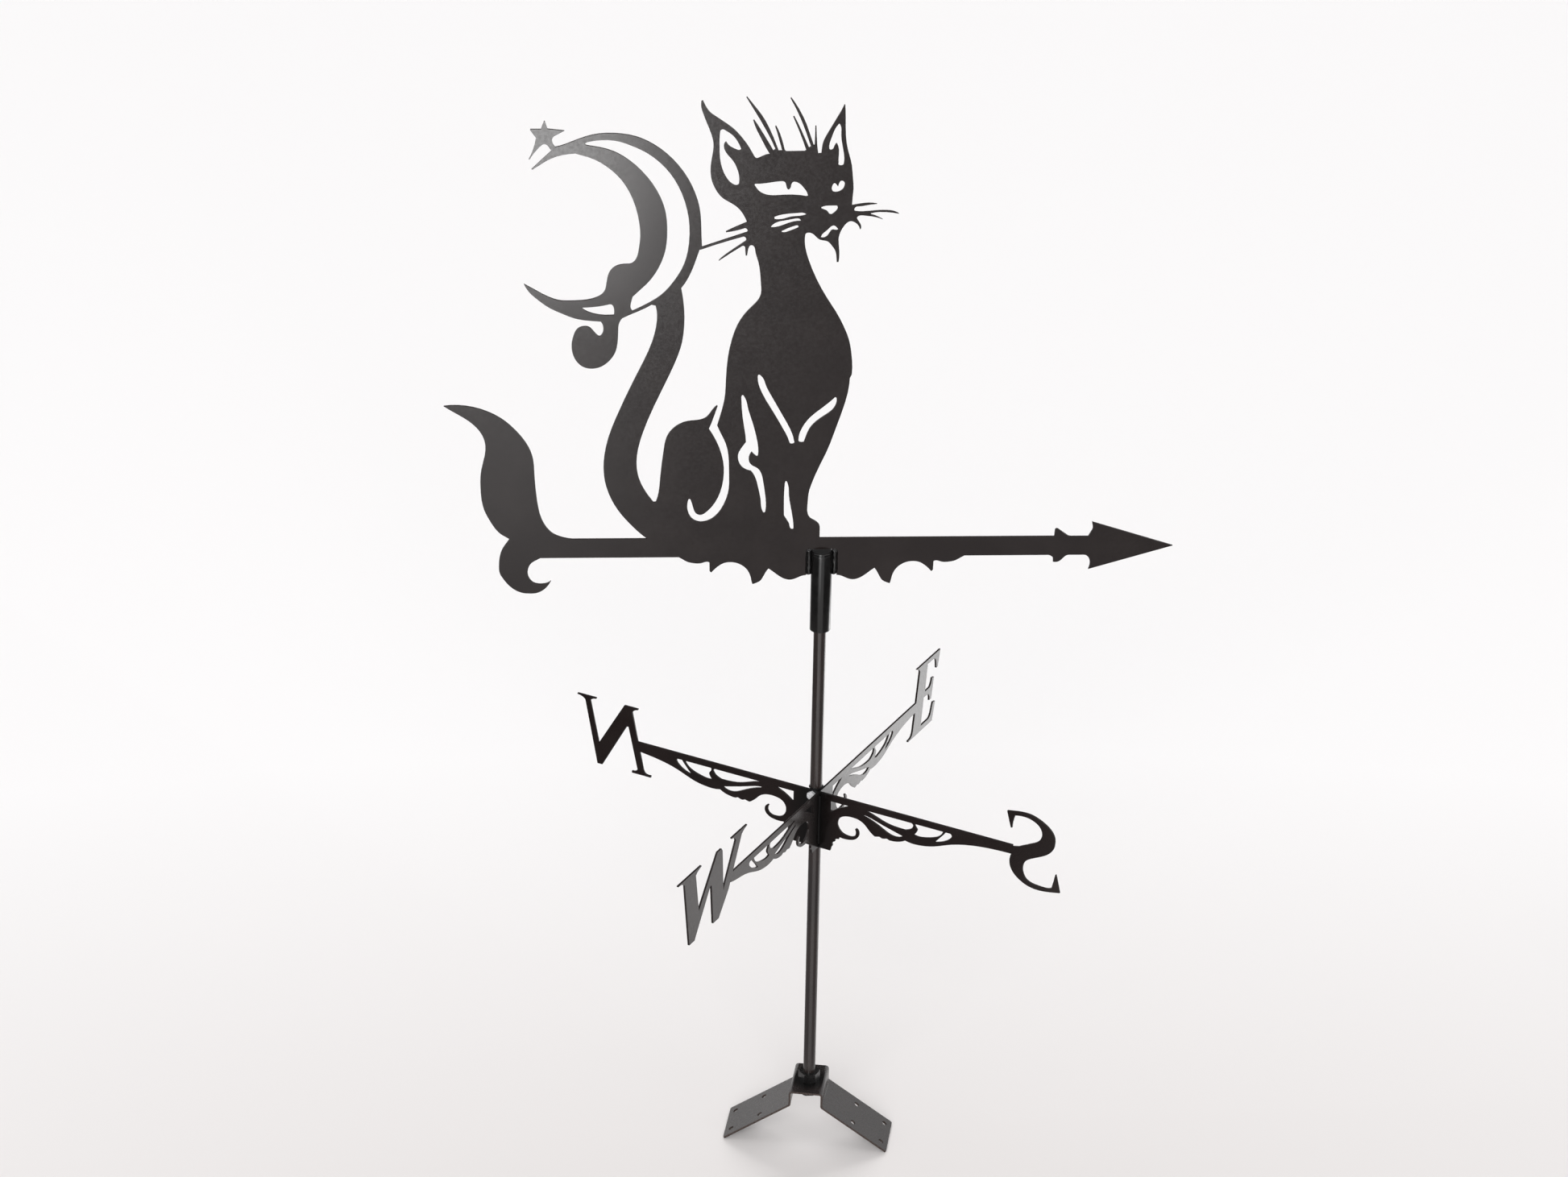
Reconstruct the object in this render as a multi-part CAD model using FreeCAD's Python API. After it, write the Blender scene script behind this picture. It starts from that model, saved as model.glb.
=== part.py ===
import FreeCAD, Part
import math
import os

# Cat weathervane on a ridge bracket. The origin is on the mast's axis at the top of the bracket's
# plate, +Z is up, and the vane points along +X at rest. Compass and bracket are turned about Z.

# Mast and bracket foot
mast_diameter = 12.0
mast_foot_length = 17.5
foot_chamfer = 1.2
nut_flats = 19.0
nut_height = 10.0
nut_chamfer = 0.8
washer_diameter = 24.0
washer_thickness = 2.5
bracket_thickness = 2.0
bracket_depth = 54.0
bracket_top_width = 34.2
bracket_drop = 15.6
wing_length = 80.0
wing_slope = 34.7
bend_radius = 1.5
bracket_corner_radius = 1.5
bracket_turn = -10.4
crown_half_width = 20.0
mast_hole_clearance = 0.5
wing_hole_diameter = 5.5
wing_hole_first = 37.0
wing_hole_pitch = 35.0
wing_hole_spread = 33.0

# Vane plate: one sheet with the arrow, the cat, its tail and the moon
plate_thickness = 2.0
vane_height = 500.0
vane_line_height = 600.0
notch_width = 29.0
notch_top_drop = 4.5
notch_radius = 3.0

# Turning head
sleeve_diameter = 20.0
sleeve_bore = 16.0
sleeve_length = 81.0
cap_gap = 1.5
cap_thickness = 3.0
spigot_length = 4.0
cap_edge_radius = 0.6
thrust_disc_thickness = 3.0
ball_diameter = 8.0
ball_seat_depth = 2.5
running_clearance = 0.05
bush_length = 18.0
upper_bush_drop = 4.0
bead_thickness = 6.4
bead_length = 28.0
bead_rise = 0.8

# Compass: two straight plates that cross beside the mast
arm_reach = 200.0
compass_line_height = 337.0
compass_turn = 30.9
lap_clearance = 0.1
hub_bolt_diameter = 5.0
hub_bolt_flats = 8.0
hub_bolt_head_height = 3.5
hub_nut_height = 4.0
hub_bolt_drop = 5.5
hub_bolt_tail = 2.5
hub_hole_clearance = 0.15
corner_weld_radius = 1.6
corner_weld_inset = 4.0
mast_weld_reach = 1.1

overrun = 1.0

# Outlines of the vane, as shares of vane_height from the mast's axis and the vane's drawing line.
# Each list is a run: one point is a straight line to it, and more points are a smooth curve.
arrow_shares = [
    [(-0.580, 0.015)],
    [(0.442, 0.015)],
    [(0.443, 0.029)],
    [(0.446, 0.031), (0.454, 0.027), (0.463, 0.020), (0.470, 0.0155), (0.476, 0.0145)],
    [(0.507, 0.0145)],
    [(0.511, 0.022), (0.515, 0.032), (0.5145, 0.038), (0.513, 0.045)],
    [(0.670, -0.006)],
    [(0.510, -0.055)],
    [(0.5125, -0.046), (0.512, -0.036), (0.508, -0.028), (0.501, -0.0245)],
    [(0.472, -0.0245)],
    [(0.465, -0.027), (0.460, -0.032), (0.453, -0.038), (0.446, -0.0395), (0.442, -0.039)],
    [(0.4415, -0.030)],
    [(0.437, -0.026), (0.428, -0.0245)],
    [(-0.580, -0.0245)],
]
scallop_shares = [
    [(0.0, -0.064)],
    [(0.029, -0.064)],
    [(0.041, -0.067), (0.052, -0.072), (0.060, -0.0735), (0.070, -0.0715), (0.080, -0.066),
     (0.090, -0.058), (0.101, -0.0495)],
    [(0.106, -0.057), (0.111, -0.067), (0.116, -0.075), (0.124, -0.080), (0.131, -0.0825)],
    [(0.133, -0.076), (0.1345, -0.068), (0.139, -0.056), (0.148, -0.045), (0.160, -0.038),
     (0.174, -0.0355), (0.186, -0.0375), (0.198, -0.045), (0.210, -0.0575)],
    [(0.213, -0.054)],
    [(0.2135, -0.036)],
    [(0.217, -0.0345), (0.228, -0.037), (0.242, -0.0375), (0.256, -0.034), (0.266, -0.028),
     (0.272, -0.0245)],
    [(0.272, 0.0)],
    [(0.0, 0.0)],
]
fletching_shares = [
    [(-0.712, 0.292)],
    [(-0.690, 0.2935), (-0.660, 0.290), (-0.630, 0.280), (-0.600, 0.262), (-0.580, 0.243),
     (-0.562, 0.220), (-0.550, 0.196), (-0.5455, 0.176), (-0.544, 0.150), (-0.542, 0.120),
     (-0.540, 0.100), (-0.537, 0.080), (-0.532, 0.060), (-0.522, 0.040), (-0.510, 0.027),
     (-0.500, 0.0215), (-0.490, 0.018), (-0.474, 0.015)],
    [(-0.474, -0.0245)],
    [(-0.534, -0.0245)],
    [(-0.542, -0.029), (-0.552, -0.036), (-0.557, -0.046), (-0.558, -0.058), (-0.554, -0.069),
     (-0.546, -0.077), (-0.537, -0.0795), (-0.526, -0.079), (-0.514, -0.073)],
    [(-0.520, -0.083), (-0.530, -0.093), (-0.542, -0.0985), (-0.554, -0.0995), (-0.568, -0.098),
     (-0.582, -0.092), (-0.594, -0.082), (-0.604, -0.069), (-0.611, -0.056), (-0.6125, -0.040),
     (-0.6105, -0.020), (-0.606, -0.006), (-0.600, 0.004), (-0.592, 0.016)],
    [(-0.600, 0.021), (-0.610, 0.028), (-0.620, 0.040), (-0.630, 0.057), (-0.639, 0.077),
     (-0.644, 0.100), (-0.6455, 0.124), (-0.645, 0.150), (-0.642, 0.168), (-0.638, 0.184),
     (-0.6355, 0.200), (-0.636, 0.216), (-0.641, 0.232), (-0.650, 0.246), (-0.664, 0.260),
     (-0.684, 0.274), (-0.712, 0.292)],
]
cat_shares = [
    [(-0.005, 0.0)],
    [(-0.005, 0.036)],
    [(-0.008, 0.045), (-0.016, 0.0515), (-0.024, 0.057), (-0.0285, 0.066), (-0.029, 0.090),
     (-0.0275, 0.110), (-0.022, 0.130), (-0.014, 0.152), (-0.002, 0.180), (0.010, 0.210),
     (0.022, 0.248), (0.034, 0.286), (0.042, 0.320), (0.0445, 0.346)],
    [(0.048, 0.354)],
    [(0.0485, 0.370), (0.0465, 0.394), (0.041, 0.424), (0.031, 0.450), (0.018, 0.476),
     (0.002, 0.502), (-0.014, 0.530), (-0.028, 0.560), (-0.039, 0.590), (-0.044, 0.610),
     (-0.0445, 0.635)],
    [(-0.043, 0.6375)],
    [(-0.032, 0.637), (-0.026, 0.632), (-0.019, 0.6255), (-0.010, 0.623), (-0.004, 0.6215),
     (0.004, 0.614), (0.011, 0.603), (0.0135, 0.592), (0.0145, 0.580)],
    [(0.018, 0.5805)],
    [(0.019, 0.594), (0.018, 0.612), (0.017, 0.628), (0.021, 0.642), (0.028, 0.654),
     (0.038, 0.661), (0.047, 0.658), (0.053, 0.652), (0.0555, 0.645)],
    [(0.0575, 0.646)],
    [(0.056, 0.656), (0.0515, 0.663), (0.0495, 0.668)],
    [(0.053, 0.6715), (0.064, 0.672), (0.080, 0.670), (0.097, 0.6645)],
    [(0.086, 0.6705), (0.076, 0.674)],
    [(0.0745, 0.6765)],
    [(0.084, 0.6785), (0.100, 0.679), (0.116, 0.6775), (0.127, 0.6755)],
    [(0.116, 0.6805), (0.100, 0.682), (0.084, 0.6815), (0.064, 0.6795), (0.048, 0.680)],
    [(0.0445, 0.683), (0.046, 0.688), (0.056, 0.6905), (0.070, 0.693), (0.086, 0.695)],
    [(0.072, 0.6965), (0.056, 0.695), (0.040, 0.692)],
    [(0.041, 0.710), (0.042, 0.726), (0.040, 0.750), (0.038, 0.770), (0.033, 0.790),
     (0.028, 0.810), (0.0255, 0.830), (0.0245, 0.856), (0.023, 0.888)],
    [(0.0215, 0.888)],
    [(0.014, 0.872), (0.004, 0.854), (-0.008, 0.832), (-0.016, 0.814), (-0.018, 0.800),
     (-0.0185, 0.794)],
    [(-0.024, 0.7935)],
    [(-0.026, 0.808), (-0.0275, 0.828), (-0.0285, 0.847)],
    [(-0.0305, 0.847)],
    [(-0.0305, 0.830), (-0.031, 0.810)],
    [(-0.0325, 0.810)],
    [(-0.038, 0.826), (-0.047, 0.852), (-0.059, 0.877), (-0.075, 0.902)],
    [(-0.0765, 0.9005)],
    [(-0.063, 0.874), (-0.052, 0.848), (-0.044, 0.826), (-0.0375, 0.807)],
    [(-0.041, 0.805)],
    [(-0.048, 0.821), (-0.058, 0.844), (-0.069, 0.866)],
    [(-0.071, 0.865)],
    [(-0.061, 0.841), (-0.053, 0.820), (-0.046, 0.800)],
    [(-0.049, 0.798)],
    [(-0.082, 0.7975)],
    [(-0.085, 0.800)],
    [(-0.089, 0.816), (-0.095, 0.834), (-0.1015, 0.8475)],
    [(-0.1035, 0.846)],
    [(-0.099, 0.832), (-0.094, 0.814), (-0.090, 0.7995)],
    [(-0.096, 0.799)],
    [(-0.104, 0.820), (-0.113, 0.841), (-0.124, 0.862), (-0.139, 0.883), (-0.155, 0.9035)],
    [(-0.1565, 0.9025)],
    [(-0.143, 0.880), (-0.129, 0.856), (-0.116, 0.832), (-0.102, 0.802)],
    [(-0.106, 0.7995)],
    [(-0.114, 0.814), (-0.124, 0.831), (-0.133, 0.846), (-0.1415, 0.859)],
    [(-0.1435, 0.858)],
    [(-0.137, 0.840), (-0.129, 0.824), (-0.120, 0.806), (-0.112, 0.792)],
    [(-0.122, 0.790), (-0.128, 0.787), (-0.136, 0.784)],
    [(-0.139, 0.786)],
    [(-0.143, 0.793), (-0.152, 0.809), (-0.162, 0.823), (-0.176, 0.839), (-0.192, 0.852),
     (-0.208, 0.863), (-0.222, 0.874), (-0.229, 0.884), (-0.235, 0.8965)],
    [(-0.238, 0.895)],
    [(-0.238, 0.884), (-0.234, 0.870), (-0.227, 0.852), (-0.220, 0.834), (-0.2155, 0.816),
     (-0.2155, 0.800), (-0.2185, 0.780), (-0.220, 0.760), (-0.217, 0.740), (-0.209, 0.722),
     (-0.197, 0.707), (-0.182, 0.6975), (-0.168, 0.687), (-0.158, 0.673), (-0.152, 0.6595)],
    [(-0.164, 0.654), (-0.178, 0.6475), (-0.1905, 0.641)],
    [(-0.190, 0.6395)],
    [(-0.174, 0.6425), (-0.158, 0.647)],
    [(-0.152, 0.646), (-0.1505, 0.6425), (-0.154, 0.639)],
    [(-0.174, 0.632), (-0.202, 0.622), (-0.232, 0.6115)],
    [(-0.244, 0.610)],
    [(-0.244, 0.604)],
    [(-0.236, 0.6055)],
    [(-0.208, 0.6155), (-0.180, 0.6245), (-0.160, 0.6305)],
    [(-0.1545, 0.6295), (-0.153, 0.6255), (-0.155, 0.6215)],
    [(-0.168, 0.612), (-0.184, 0.6005), (-0.202, 0.5850)],
    [(-0.203, 0.583)],
    [(-0.184, 0.5965), (-0.170, 0.606), (-0.160, 0.6125)],
    [(-0.156, 0.612), (-0.1545, 0.606), (-0.154, 0.598), (-0.1535, 0.5935)],
    [(-0.151, 0.5935)],
    [(-0.150, 0.600), (-0.1485, 0.608), (-0.144, 0.614), (-0.140, 0.613), (-0.136, 0.602),
     (-0.131, 0.584), (-0.1265, 0.560), (-0.1245, 0.536), (-0.1245, 0.516), (-0.129, 0.505),
     (-0.140, 0.492), (-0.154, 0.476), (-0.167, 0.454), (-0.176, 0.428), (-0.182, 0.400),
     (-0.1855, 0.370), (-0.187, 0.336), (-0.189, 0.304), (-0.194, 0.280), (-0.202, 0.250)],
    [(-0.195, 0.234), (-0.186, 0.214), (-0.180, 0.186), (-0.1785, 0.150), (-0.179, 0.116),
     (-0.186, 0.090), (-0.198, 0.068), (-0.212, 0.055), (-0.230, 0.0495), (-0.244, 0.054),
     (-0.254, 0.068), (-0.2565, 0.086), (-0.2545, 0.097)],
    [(-0.252, 0.098), (-0.2495, 0.094), (-0.245, 0.078), (-0.239, 0.067), (-0.232, 0.0645),
     (-0.220, 0.071), (-0.207, 0.086), (-0.196, 0.108), (-0.1895, 0.136), (-0.1885, 0.164),
     (-0.193, 0.190), (-0.202, 0.215), (-0.2175, 0.243)],
    [(-0.211, 0.260), (-0.206, 0.276), (-0.2015, 0.290)],
    [(-0.203, 0.291)],
    [(-0.214, 0.278), (-0.222, 0.2675), (-0.234, 0.2615), (-0.250, 0.2595), (-0.266, 0.256),
     (-0.280, 0.248), (-0.292, 0.235), (-0.299, 0.218), (-0.3025, 0.194), (-0.3055, 0.170),
     (-0.3085, 0.136), (-0.3115, 0.108), (-0.316, 0.092)],
    [(-0.3205, 0.0915)],
    [(-0.332, 0.108), (-0.343, 0.128), (-0.3505, 0.152), (-0.3525, 0.176), (-0.3495, 0.204),
     (-0.341, 0.236), (-0.328, 0.272), (-0.311, 0.312), (-0.294, 0.350), (-0.280, 0.384),
     (-0.270, 0.416), (-0.2655, 0.450), (-0.2655, 0.484), (-0.2715, 0.529)],
    [(-0.290, 0.524)],
    [(-0.320, 0.502)],
    [(-0.3195, 0.497)],
    [(-0.3165, 0.484), (-0.316, 0.464), (-0.320, 0.438), (-0.330, 0.406), (-0.342, 0.378),
     (-0.357, 0.346), (-0.374, 0.308), (-0.389, 0.272), (-0.403, 0.234), (-0.412, 0.196),
     (-0.4145, 0.166), (-0.4115, 0.134), (-0.401, 0.101), (-0.385, 0.072), (-0.366, 0.048),
     (-0.346, 0.027), (-0.332, 0.015)],
    [(-0.332, 0.0)],
]
star_root_shares = [(-0.509, 0.800), (-0.502, 0.807)]
moon_shares = [
    [star_root_shares[0]],
    [(-0.520, 0.7895), (-0.532, 0.7775), (-0.5455, 0.764)],
    [(-0.544, 0.763)],
    [(-0.532, 0.771), (-0.516, 0.7815), (-0.500, 0.7885), (-0.484, 0.7925), (-0.466, 0.7945)],
    [(-0.456, 0.7915), (-0.436, 0.785), (-0.416, 0.774), (-0.398, 0.760), (-0.380, 0.740),
     (-0.366, 0.716), (-0.3555, 0.688), (-0.3495, 0.660), (-0.3475, 0.630), (-0.350, 0.606),
     (-0.3545, 0.588), (-0.3605, 0.580), (-0.368, 0.577)],
    [(-0.380, 0.5765), (-0.392, 0.573), (-0.402, 0.564), (-0.4075, 0.550), (-0.410, 0.534),
     (-0.413, 0.523), (-0.419, 0.516), (-0.430, 0.510), (-0.448, 0.5055), (-0.472, 0.504),
     (-0.496, 0.505), (-0.514, 0.511), (-0.536, 0.523), (-0.561, 0.538)],
    [(-0.550, 0.520), (-0.534, 0.505), (-0.514, 0.490), (-0.492, 0.479), (-0.468, 0.469),
     (-0.444, 0.4645), (-0.420, 0.4625)],
    [(-0.4165, 0.457), (-0.415, 0.447), (-0.4175, 0.437), (-0.422, 0.433), (-0.427, 0.436),
     (-0.434, 0.4445), (-0.442, 0.4515), (-0.452, 0.4525), (-0.462, 0.4485), (-0.4695, 0.436),
     (-0.4735, 0.418), (-0.472, 0.399), (-0.465, 0.383), (-0.453, 0.3715), (-0.437, 0.3675),
     (-0.419, 0.3715), (-0.404, 0.383), (-0.393, 0.400), (-0.3885, 0.420), (-0.3875, 0.440),
     (-0.386, 0.458), (-0.380, 0.469)],
    [(-0.368, 0.475), (-0.348, 0.484), (-0.326, 0.496)],
    [(-0.310, 0.492)],
    [(-0.280, 0.520)],
    [(-0.2715, 0.529)],
    [(-0.261, 0.545), (-0.251, 0.567), (-0.242, 0.594), (-0.2385, 0.605)],
    [(-0.234, 0.612)],
    [(-0.235, 0.632), (-0.236, 0.660), (-0.239, 0.688), (-0.247, 0.716), (-0.261, 0.746),
     (-0.279, 0.772), (-0.300, 0.794), (-0.324, 0.812), (-0.350, 0.825), (-0.380, 0.832),
     (-0.408, 0.8335), (-0.436, 0.830), (-0.464, 0.8205), (-0.486, 0.8115), star_root_shares[1]],
]
star_shares = [
    [star_root_shares[1]],
    [(-0.5075, 0.816), (-0.5075, 0.823), (-0.504, 0.828)],
    [(-0.4855, 0.8385)],
    [(-0.516, 0.842)],
    [(-0.521, 0.857)],
    [(-0.5225, 0.857)],
    [(-0.528, 0.8415)],
    [(-0.5475, 0.8415)],
    [(-0.5475, 0.8395)],
    [(-0.537, 0.825)],
    [(-0.540, 0.810), (-0.5445, 0.796), (-0.5505, 0.7835)],
    [(-0.549, 0.7825)],
    [(-0.541, 0.795), (-0.532, 0.8055), (-0.525, 0.812)],
    [(-0.519, 0.812), (-0.514, 0.807), star_root_shares[0]],
]
moon_slot_shares = [
    [(-0.444, 0.8165)],
    [(-0.428, 0.8195), (-0.408, 0.8205), (-0.386, 0.8175), (-0.364, 0.8095), (-0.342, 0.799),
     (-0.318, 0.782), (-0.296, 0.759), (-0.278, 0.730), (-0.265, 0.696), (-0.2585, 0.664),
     (-0.2575, 0.624), (-0.262, 0.592), (-0.272, 0.564), (-0.286, 0.541), (-0.304, 0.519),
     (-0.324, 0.5035), (-0.344, 0.492), (-0.361, 0.4835)],
    [(-0.364, 0.488), (-0.364, 0.500), (-0.361, 0.512)],
    [(-0.350, 0.523), (-0.333, 0.540), (-0.318, 0.561), (-0.306, 0.587), (-0.2995, 0.614),
     (-0.298, 0.644), (-0.3005, 0.676), (-0.310, 0.707), (-0.326, 0.736), (-0.348, 0.763),
     (-0.372, 0.784), (-0.398, 0.799), (-0.422, 0.806), (-0.442, 0.8095)],
    [(-0.448, 0.8125), (-0.444, 0.8165)],
]
low_slot_shares = [
    [(-0.453, 0.4905)],
    [(-0.436, 0.4915), (-0.420, 0.4935), (-0.406, 0.4965)],
    [(-0.399, 0.496), (-0.3955, 0.489), (-0.3955, 0.4755)],
    [(-0.412, 0.475)],
    [(-0.428, 0.477), (-0.442, 0.4815), (-0.453, 0.488)],
]
left_eye_shares = [
    [(-0.1395, 0.733)],
    [(-0.138, 0.735)],
    [(-0.120, 0.736), (-0.104, 0.7385), (-0.088, 0.740)],
    [(-0.083, 0.737), (-0.081, 0.730), (-0.0775, 0.7235)],
    [(-0.074, 0.726), (-0.0715, 0.735), (-0.067, 0.739)],
    [(-0.058, 0.736), (-0.049, 0.727), (-0.043, 0.7175), (-0.041, 0.7105)],
    [(-0.044, 0.7095)],
    [(-0.060, 0.712), (-0.090, 0.712), (-0.114, 0.712), (-0.128, 0.718), (-0.136, 0.727),
     (-0.1395, 0.733)],
]
right_eye_shares = [
    [(0.0025, 0.724)],
    [(0.0035, 0.732), (0.007, 0.736), (0.0105, 0.7335), (0.0135, 0.729)],
    [(0.0155, 0.736), (0.019, 0.7405), (0.024, 0.739), (0.0255, 0.732), (0.0215, 0.723),
     (0.014, 0.7185), (0.006, 0.7185), (0.0025, 0.724)],
]
nose_shares = [
    [(-0.016, 0.689)],
    [(-0.008, 0.6915), (0.004, 0.692), (0.012, 0.692)],
    [(0.014, 0.688), (0.009, 0.679), (0.004, 0.6745)],
    [(0.0, 0.6745), (-0.005, 0.6805), (-0.010, 0.683), (-0.016, 0.686)],
]
mouth_shares = [
    [(0.016, 0.644)],
    [(0.013, 0.649), (0.007, 0.6525), (0.003, 0.651), (-0.003, 0.645), (-0.012, 0.637),
     (-0.016, 0.629)],
    [(-0.011, 0.628), (-0.004, 0.632), (0.001, 0.640), (0.005, 0.6435), (0.011, 0.643),
     (0.016, 0.644)],
]
cheek_slot_shares = [
    [
        [(-0.102, 0.670)],
        [(-0.090, 0.674), (-0.074, 0.6765), (-0.060, 0.6775), (-0.048, 0.6775), (-0.043, 0.674)],
        [(-0.050, 0.6715), (-0.070, 0.6695), (-0.086, 0.665), (-0.101, 0.6645)],
    ],
    [
        [(-0.108, 0.651)],
        [(-0.094, 0.6605), (-0.076, 0.664), (-0.064, 0.6665), (-0.056, 0.666), (-0.053, 0.661)],
        [(-0.062, 0.6605), (-0.078, 0.656), (-0.094, 0.650), (-0.107, 0.6485)],
    ],
    [
        [(-0.088, 0.642)],
        [(-0.078, 0.647), (-0.068, 0.651), (-0.060, 0.6535)],
        [(-0.057, 0.650), (-0.062, 0.646), (-0.072, 0.642), (-0.082, 0.6385), (-0.088, 0.639)],
    ],
]
left_ear_slot_shares = [
    [(-0.203, 0.838)],
    [(-0.199, 0.841), (-0.192, 0.838), (-0.180, 0.829), (-0.171, 0.817), (-0.1645, 0.802)],
    [(-0.167, 0.800), (-0.175, 0.802), (-0.184, 0.807), (-0.192, 0.817)],
    [(-0.1955, 0.813), (-0.1955, 0.804), (-0.190, 0.793), (-0.180, 0.781), (-0.172, 0.766),
     (-0.1675, 0.748), (-0.168, 0.734)],
    [(-0.172, 0.7315), (-0.179, 0.734), (-0.188, 0.743), (-0.197, 0.760), (-0.2025, 0.782),
     (-0.204, 0.806), (-0.204, 0.826), (-0.203, 0.838)],
]
right_ear_slot_shares = [
    [(-0.004, 0.802)],
    [(-0.004, 0.812), (0.0, 0.826), (0.006, 0.842), (0.013, 0.852)],
    [(0.0155, 0.848), (0.017, 0.832), (0.0195, 0.810), (0.0235, 0.786), (0.023, 0.774)],
    [(0.020, 0.770), (0.015, 0.7705), (0.0135, 0.776)],
    [(0.0135, 0.790), (0.0135, 0.802), (0.0095, 0.8135)],
    [(0.006, 0.810), (0.0025, 0.802), (-0.0015, 0.800)],
]
left_chest_slot_shares = [
    [(-0.1275, 0.350)],
    [(-0.1255, 0.354), (-0.122, 0.352), (-0.112, 0.332), (-0.100, 0.308), (-0.086, 0.282),
     (-0.072, 0.256), (-0.061, 0.232), (-0.0575, 0.218)],
    [(-0.0585, 0.2115), (-0.063, 0.211), (-0.067, 0.218), (-0.077, 0.240), (-0.090, 0.264),
     (-0.104, 0.288), (-0.118, 0.314), (-0.126, 0.336), (-0.1275, 0.350)],
]
right_chest_slot_shares = [
    [(-0.049, 0.220)],
    [(-0.048, 0.230), (-0.042, 0.246), (-0.030, 0.264), (-0.014, 0.279), (0.004, 0.294),
     (0.018, 0.3075)],
    [(0.0205, 0.306)],
    [(0.020, 0.294), (0.014, 0.282), (0.0, 0.270), (-0.016, 0.258), (-0.028, 0.244),
     (-0.035, 0.228), (-0.039, 0.215)],
    [(-0.043, 0.214), (-0.0475, 0.2155), (-0.049, 0.220)],
]
leg_slot_shares = [
    [(-0.1575, 0.308)],
    [(-0.155, 0.3125), (-0.152, 0.309), (-0.145, 0.286), (-0.137, 0.260), (-0.129, 0.230),
     (-0.1245, 0.204), (-0.1245, 0.188)],
    [(-0.1265, 0.1855)],
    [(-0.132, 0.190), (-0.1365, 0.1955)],
    [(-0.141, 0.187), (-0.1415, 0.177), (-0.136, 0.168), (-0.126, 0.162), (-0.119, 0.153),
     (-0.114, 0.134), (-0.110, 0.108), (-0.108, 0.086), (-0.109, 0.070)],
    [(-0.1115, 0.0675), (-0.114, 0.071), (-0.118, 0.094), (-0.123, 0.120), (-0.129, 0.142),
     (-0.137, 0.155)],
    [(-0.146, 0.158), (-0.156, 0.166), (-0.1615, 0.179), (-0.1615, 0.192), (-0.155, 0.205),
     (-0.1475, 0.216)],
    [(-0.149, 0.232), (-0.153, 0.256), (-0.156, 0.282), (-0.1575, 0.308)],
]
paw_slot_shares = [
    [(-0.073, 0.130)],
    [(-0.0705, 0.1345), (-0.068, 0.130), (-0.065, 0.106), (-0.061, 0.080), (-0.056, 0.050),
     (-0.055, 0.036)],
    [(-0.057, 0.0325), (-0.060, 0.034), (-0.063, 0.043), (-0.068, 0.053), (-0.0735, 0.062)],
    [(-0.074, 0.082), (-0.074, 0.108), (-0.073, 0.130)],
]

# Outlines of the compass, as shares of arm_reach outwards from the mast and from the bar's top
arm_top_shares = [(0.0, -0.310), (0.0, 0.0)]
bar_thickness_share = 0.050
arm_underside_shares = [
    [(0.90, -0.060), (0.82, -0.074), (0.75, -0.094), (0.70, -0.114), (0.65, -0.132),
     (0.60, -0.142), (0.55, -0.145), (0.51, -0.139)],
    [(0.485, -0.152), (0.46, -0.159), (0.425, -0.162)],
    [(0.41, -0.156)],
    [(0.40, -0.160), (0.385, -0.163)],
    [(0.37, -0.157)],
    [(0.36, -0.160), (0.345, -0.163)],
    [(0.33, -0.153), (0.31, -0.135), (0.29, -0.114), (0.265, -0.099), (0.23, -0.092),
     (0.19, -0.095), (0.16, -0.108), (0.145, -0.130), (0.143, -0.158), (0.155, -0.182),
     (0.175, -0.197), (0.20, -0.2025), (0.225, -0.199), (0.24, -0.186), (0.243, -0.170),
     (0.238, -0.153)],
    [(0.243, -0.148)],
    [(0.255, -0.158), (0.260, -0.175), (0.254, -0.195), (0.235, -0.212), (0.20, -0.222),
     (0.17, -0.223), (0.155, -0.221)],
    [(0.150, -0.234)],
    [(0.137, -0.236), (0.130, -0.243)],
    [(0.130, -0.252)],
    [(0.120, -0.258), (0.115, -0.266)],
    [(0.117, -0.280)],
    [(0.110, -0.290), (0.108, -0.298)],
    [(0.105, -0.310)],
]
arm_hole_shares = [
    [
        [(0.1025, -0.035)],
        [(0.200, -0.035)],
        [(0.185, -0.044), (0.155, -0.058), (0.130, -0.074), (0.110, -0.089)],
        [(0.1025, -0.087)],
    ],
    [
        [(0.2925, -0.033)],
        [(0.54, -0.033)],
        [(0.55, -0.044), (0.545, -0.058), (0.527, -0.073), (0.505, -0.082)],
        [(0.46, -0.081), (0.41, -0.074), (0.35, -0.054), (0.2975, -0.037)],
    ],
    [
        [(0.28, -0.060)],
        [(0.31, -0.065), (0.36, -0.080), (0.42, -0.098), (0.465, -0.110), (0.495, -0.118)],
        [(0.480, -0.129), (0.45, -0.134), (0.415, -0.125), (0.375, -0.104), (0.33, -0.083),
         (0.283, -0.068)],
    ],
    [
        [(0.5625, -0.033)],
        [(0.71, -0.033)],
        [(0.695, -0.058), (0.66, -0.080), (0.615, -0.094), (0.575, -0.099), (0.555, -0.095)],
        [(0.568, -0.078), (0.572, -0.062), (0.562, -0.047), (0.5625, -0.033)],
    ],
    [
        [(0.725, -0.033)],
        [(0.75, -0.033)],
        [(0.757, -0.044), (0.745, -0.064), (0.72, -0.083), (0.69, -0.097), (0.67, -0.103)],
        [(0.685, -0.083), (0.705, -0.060), (0.725, -0.033)],
    ],
]
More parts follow.
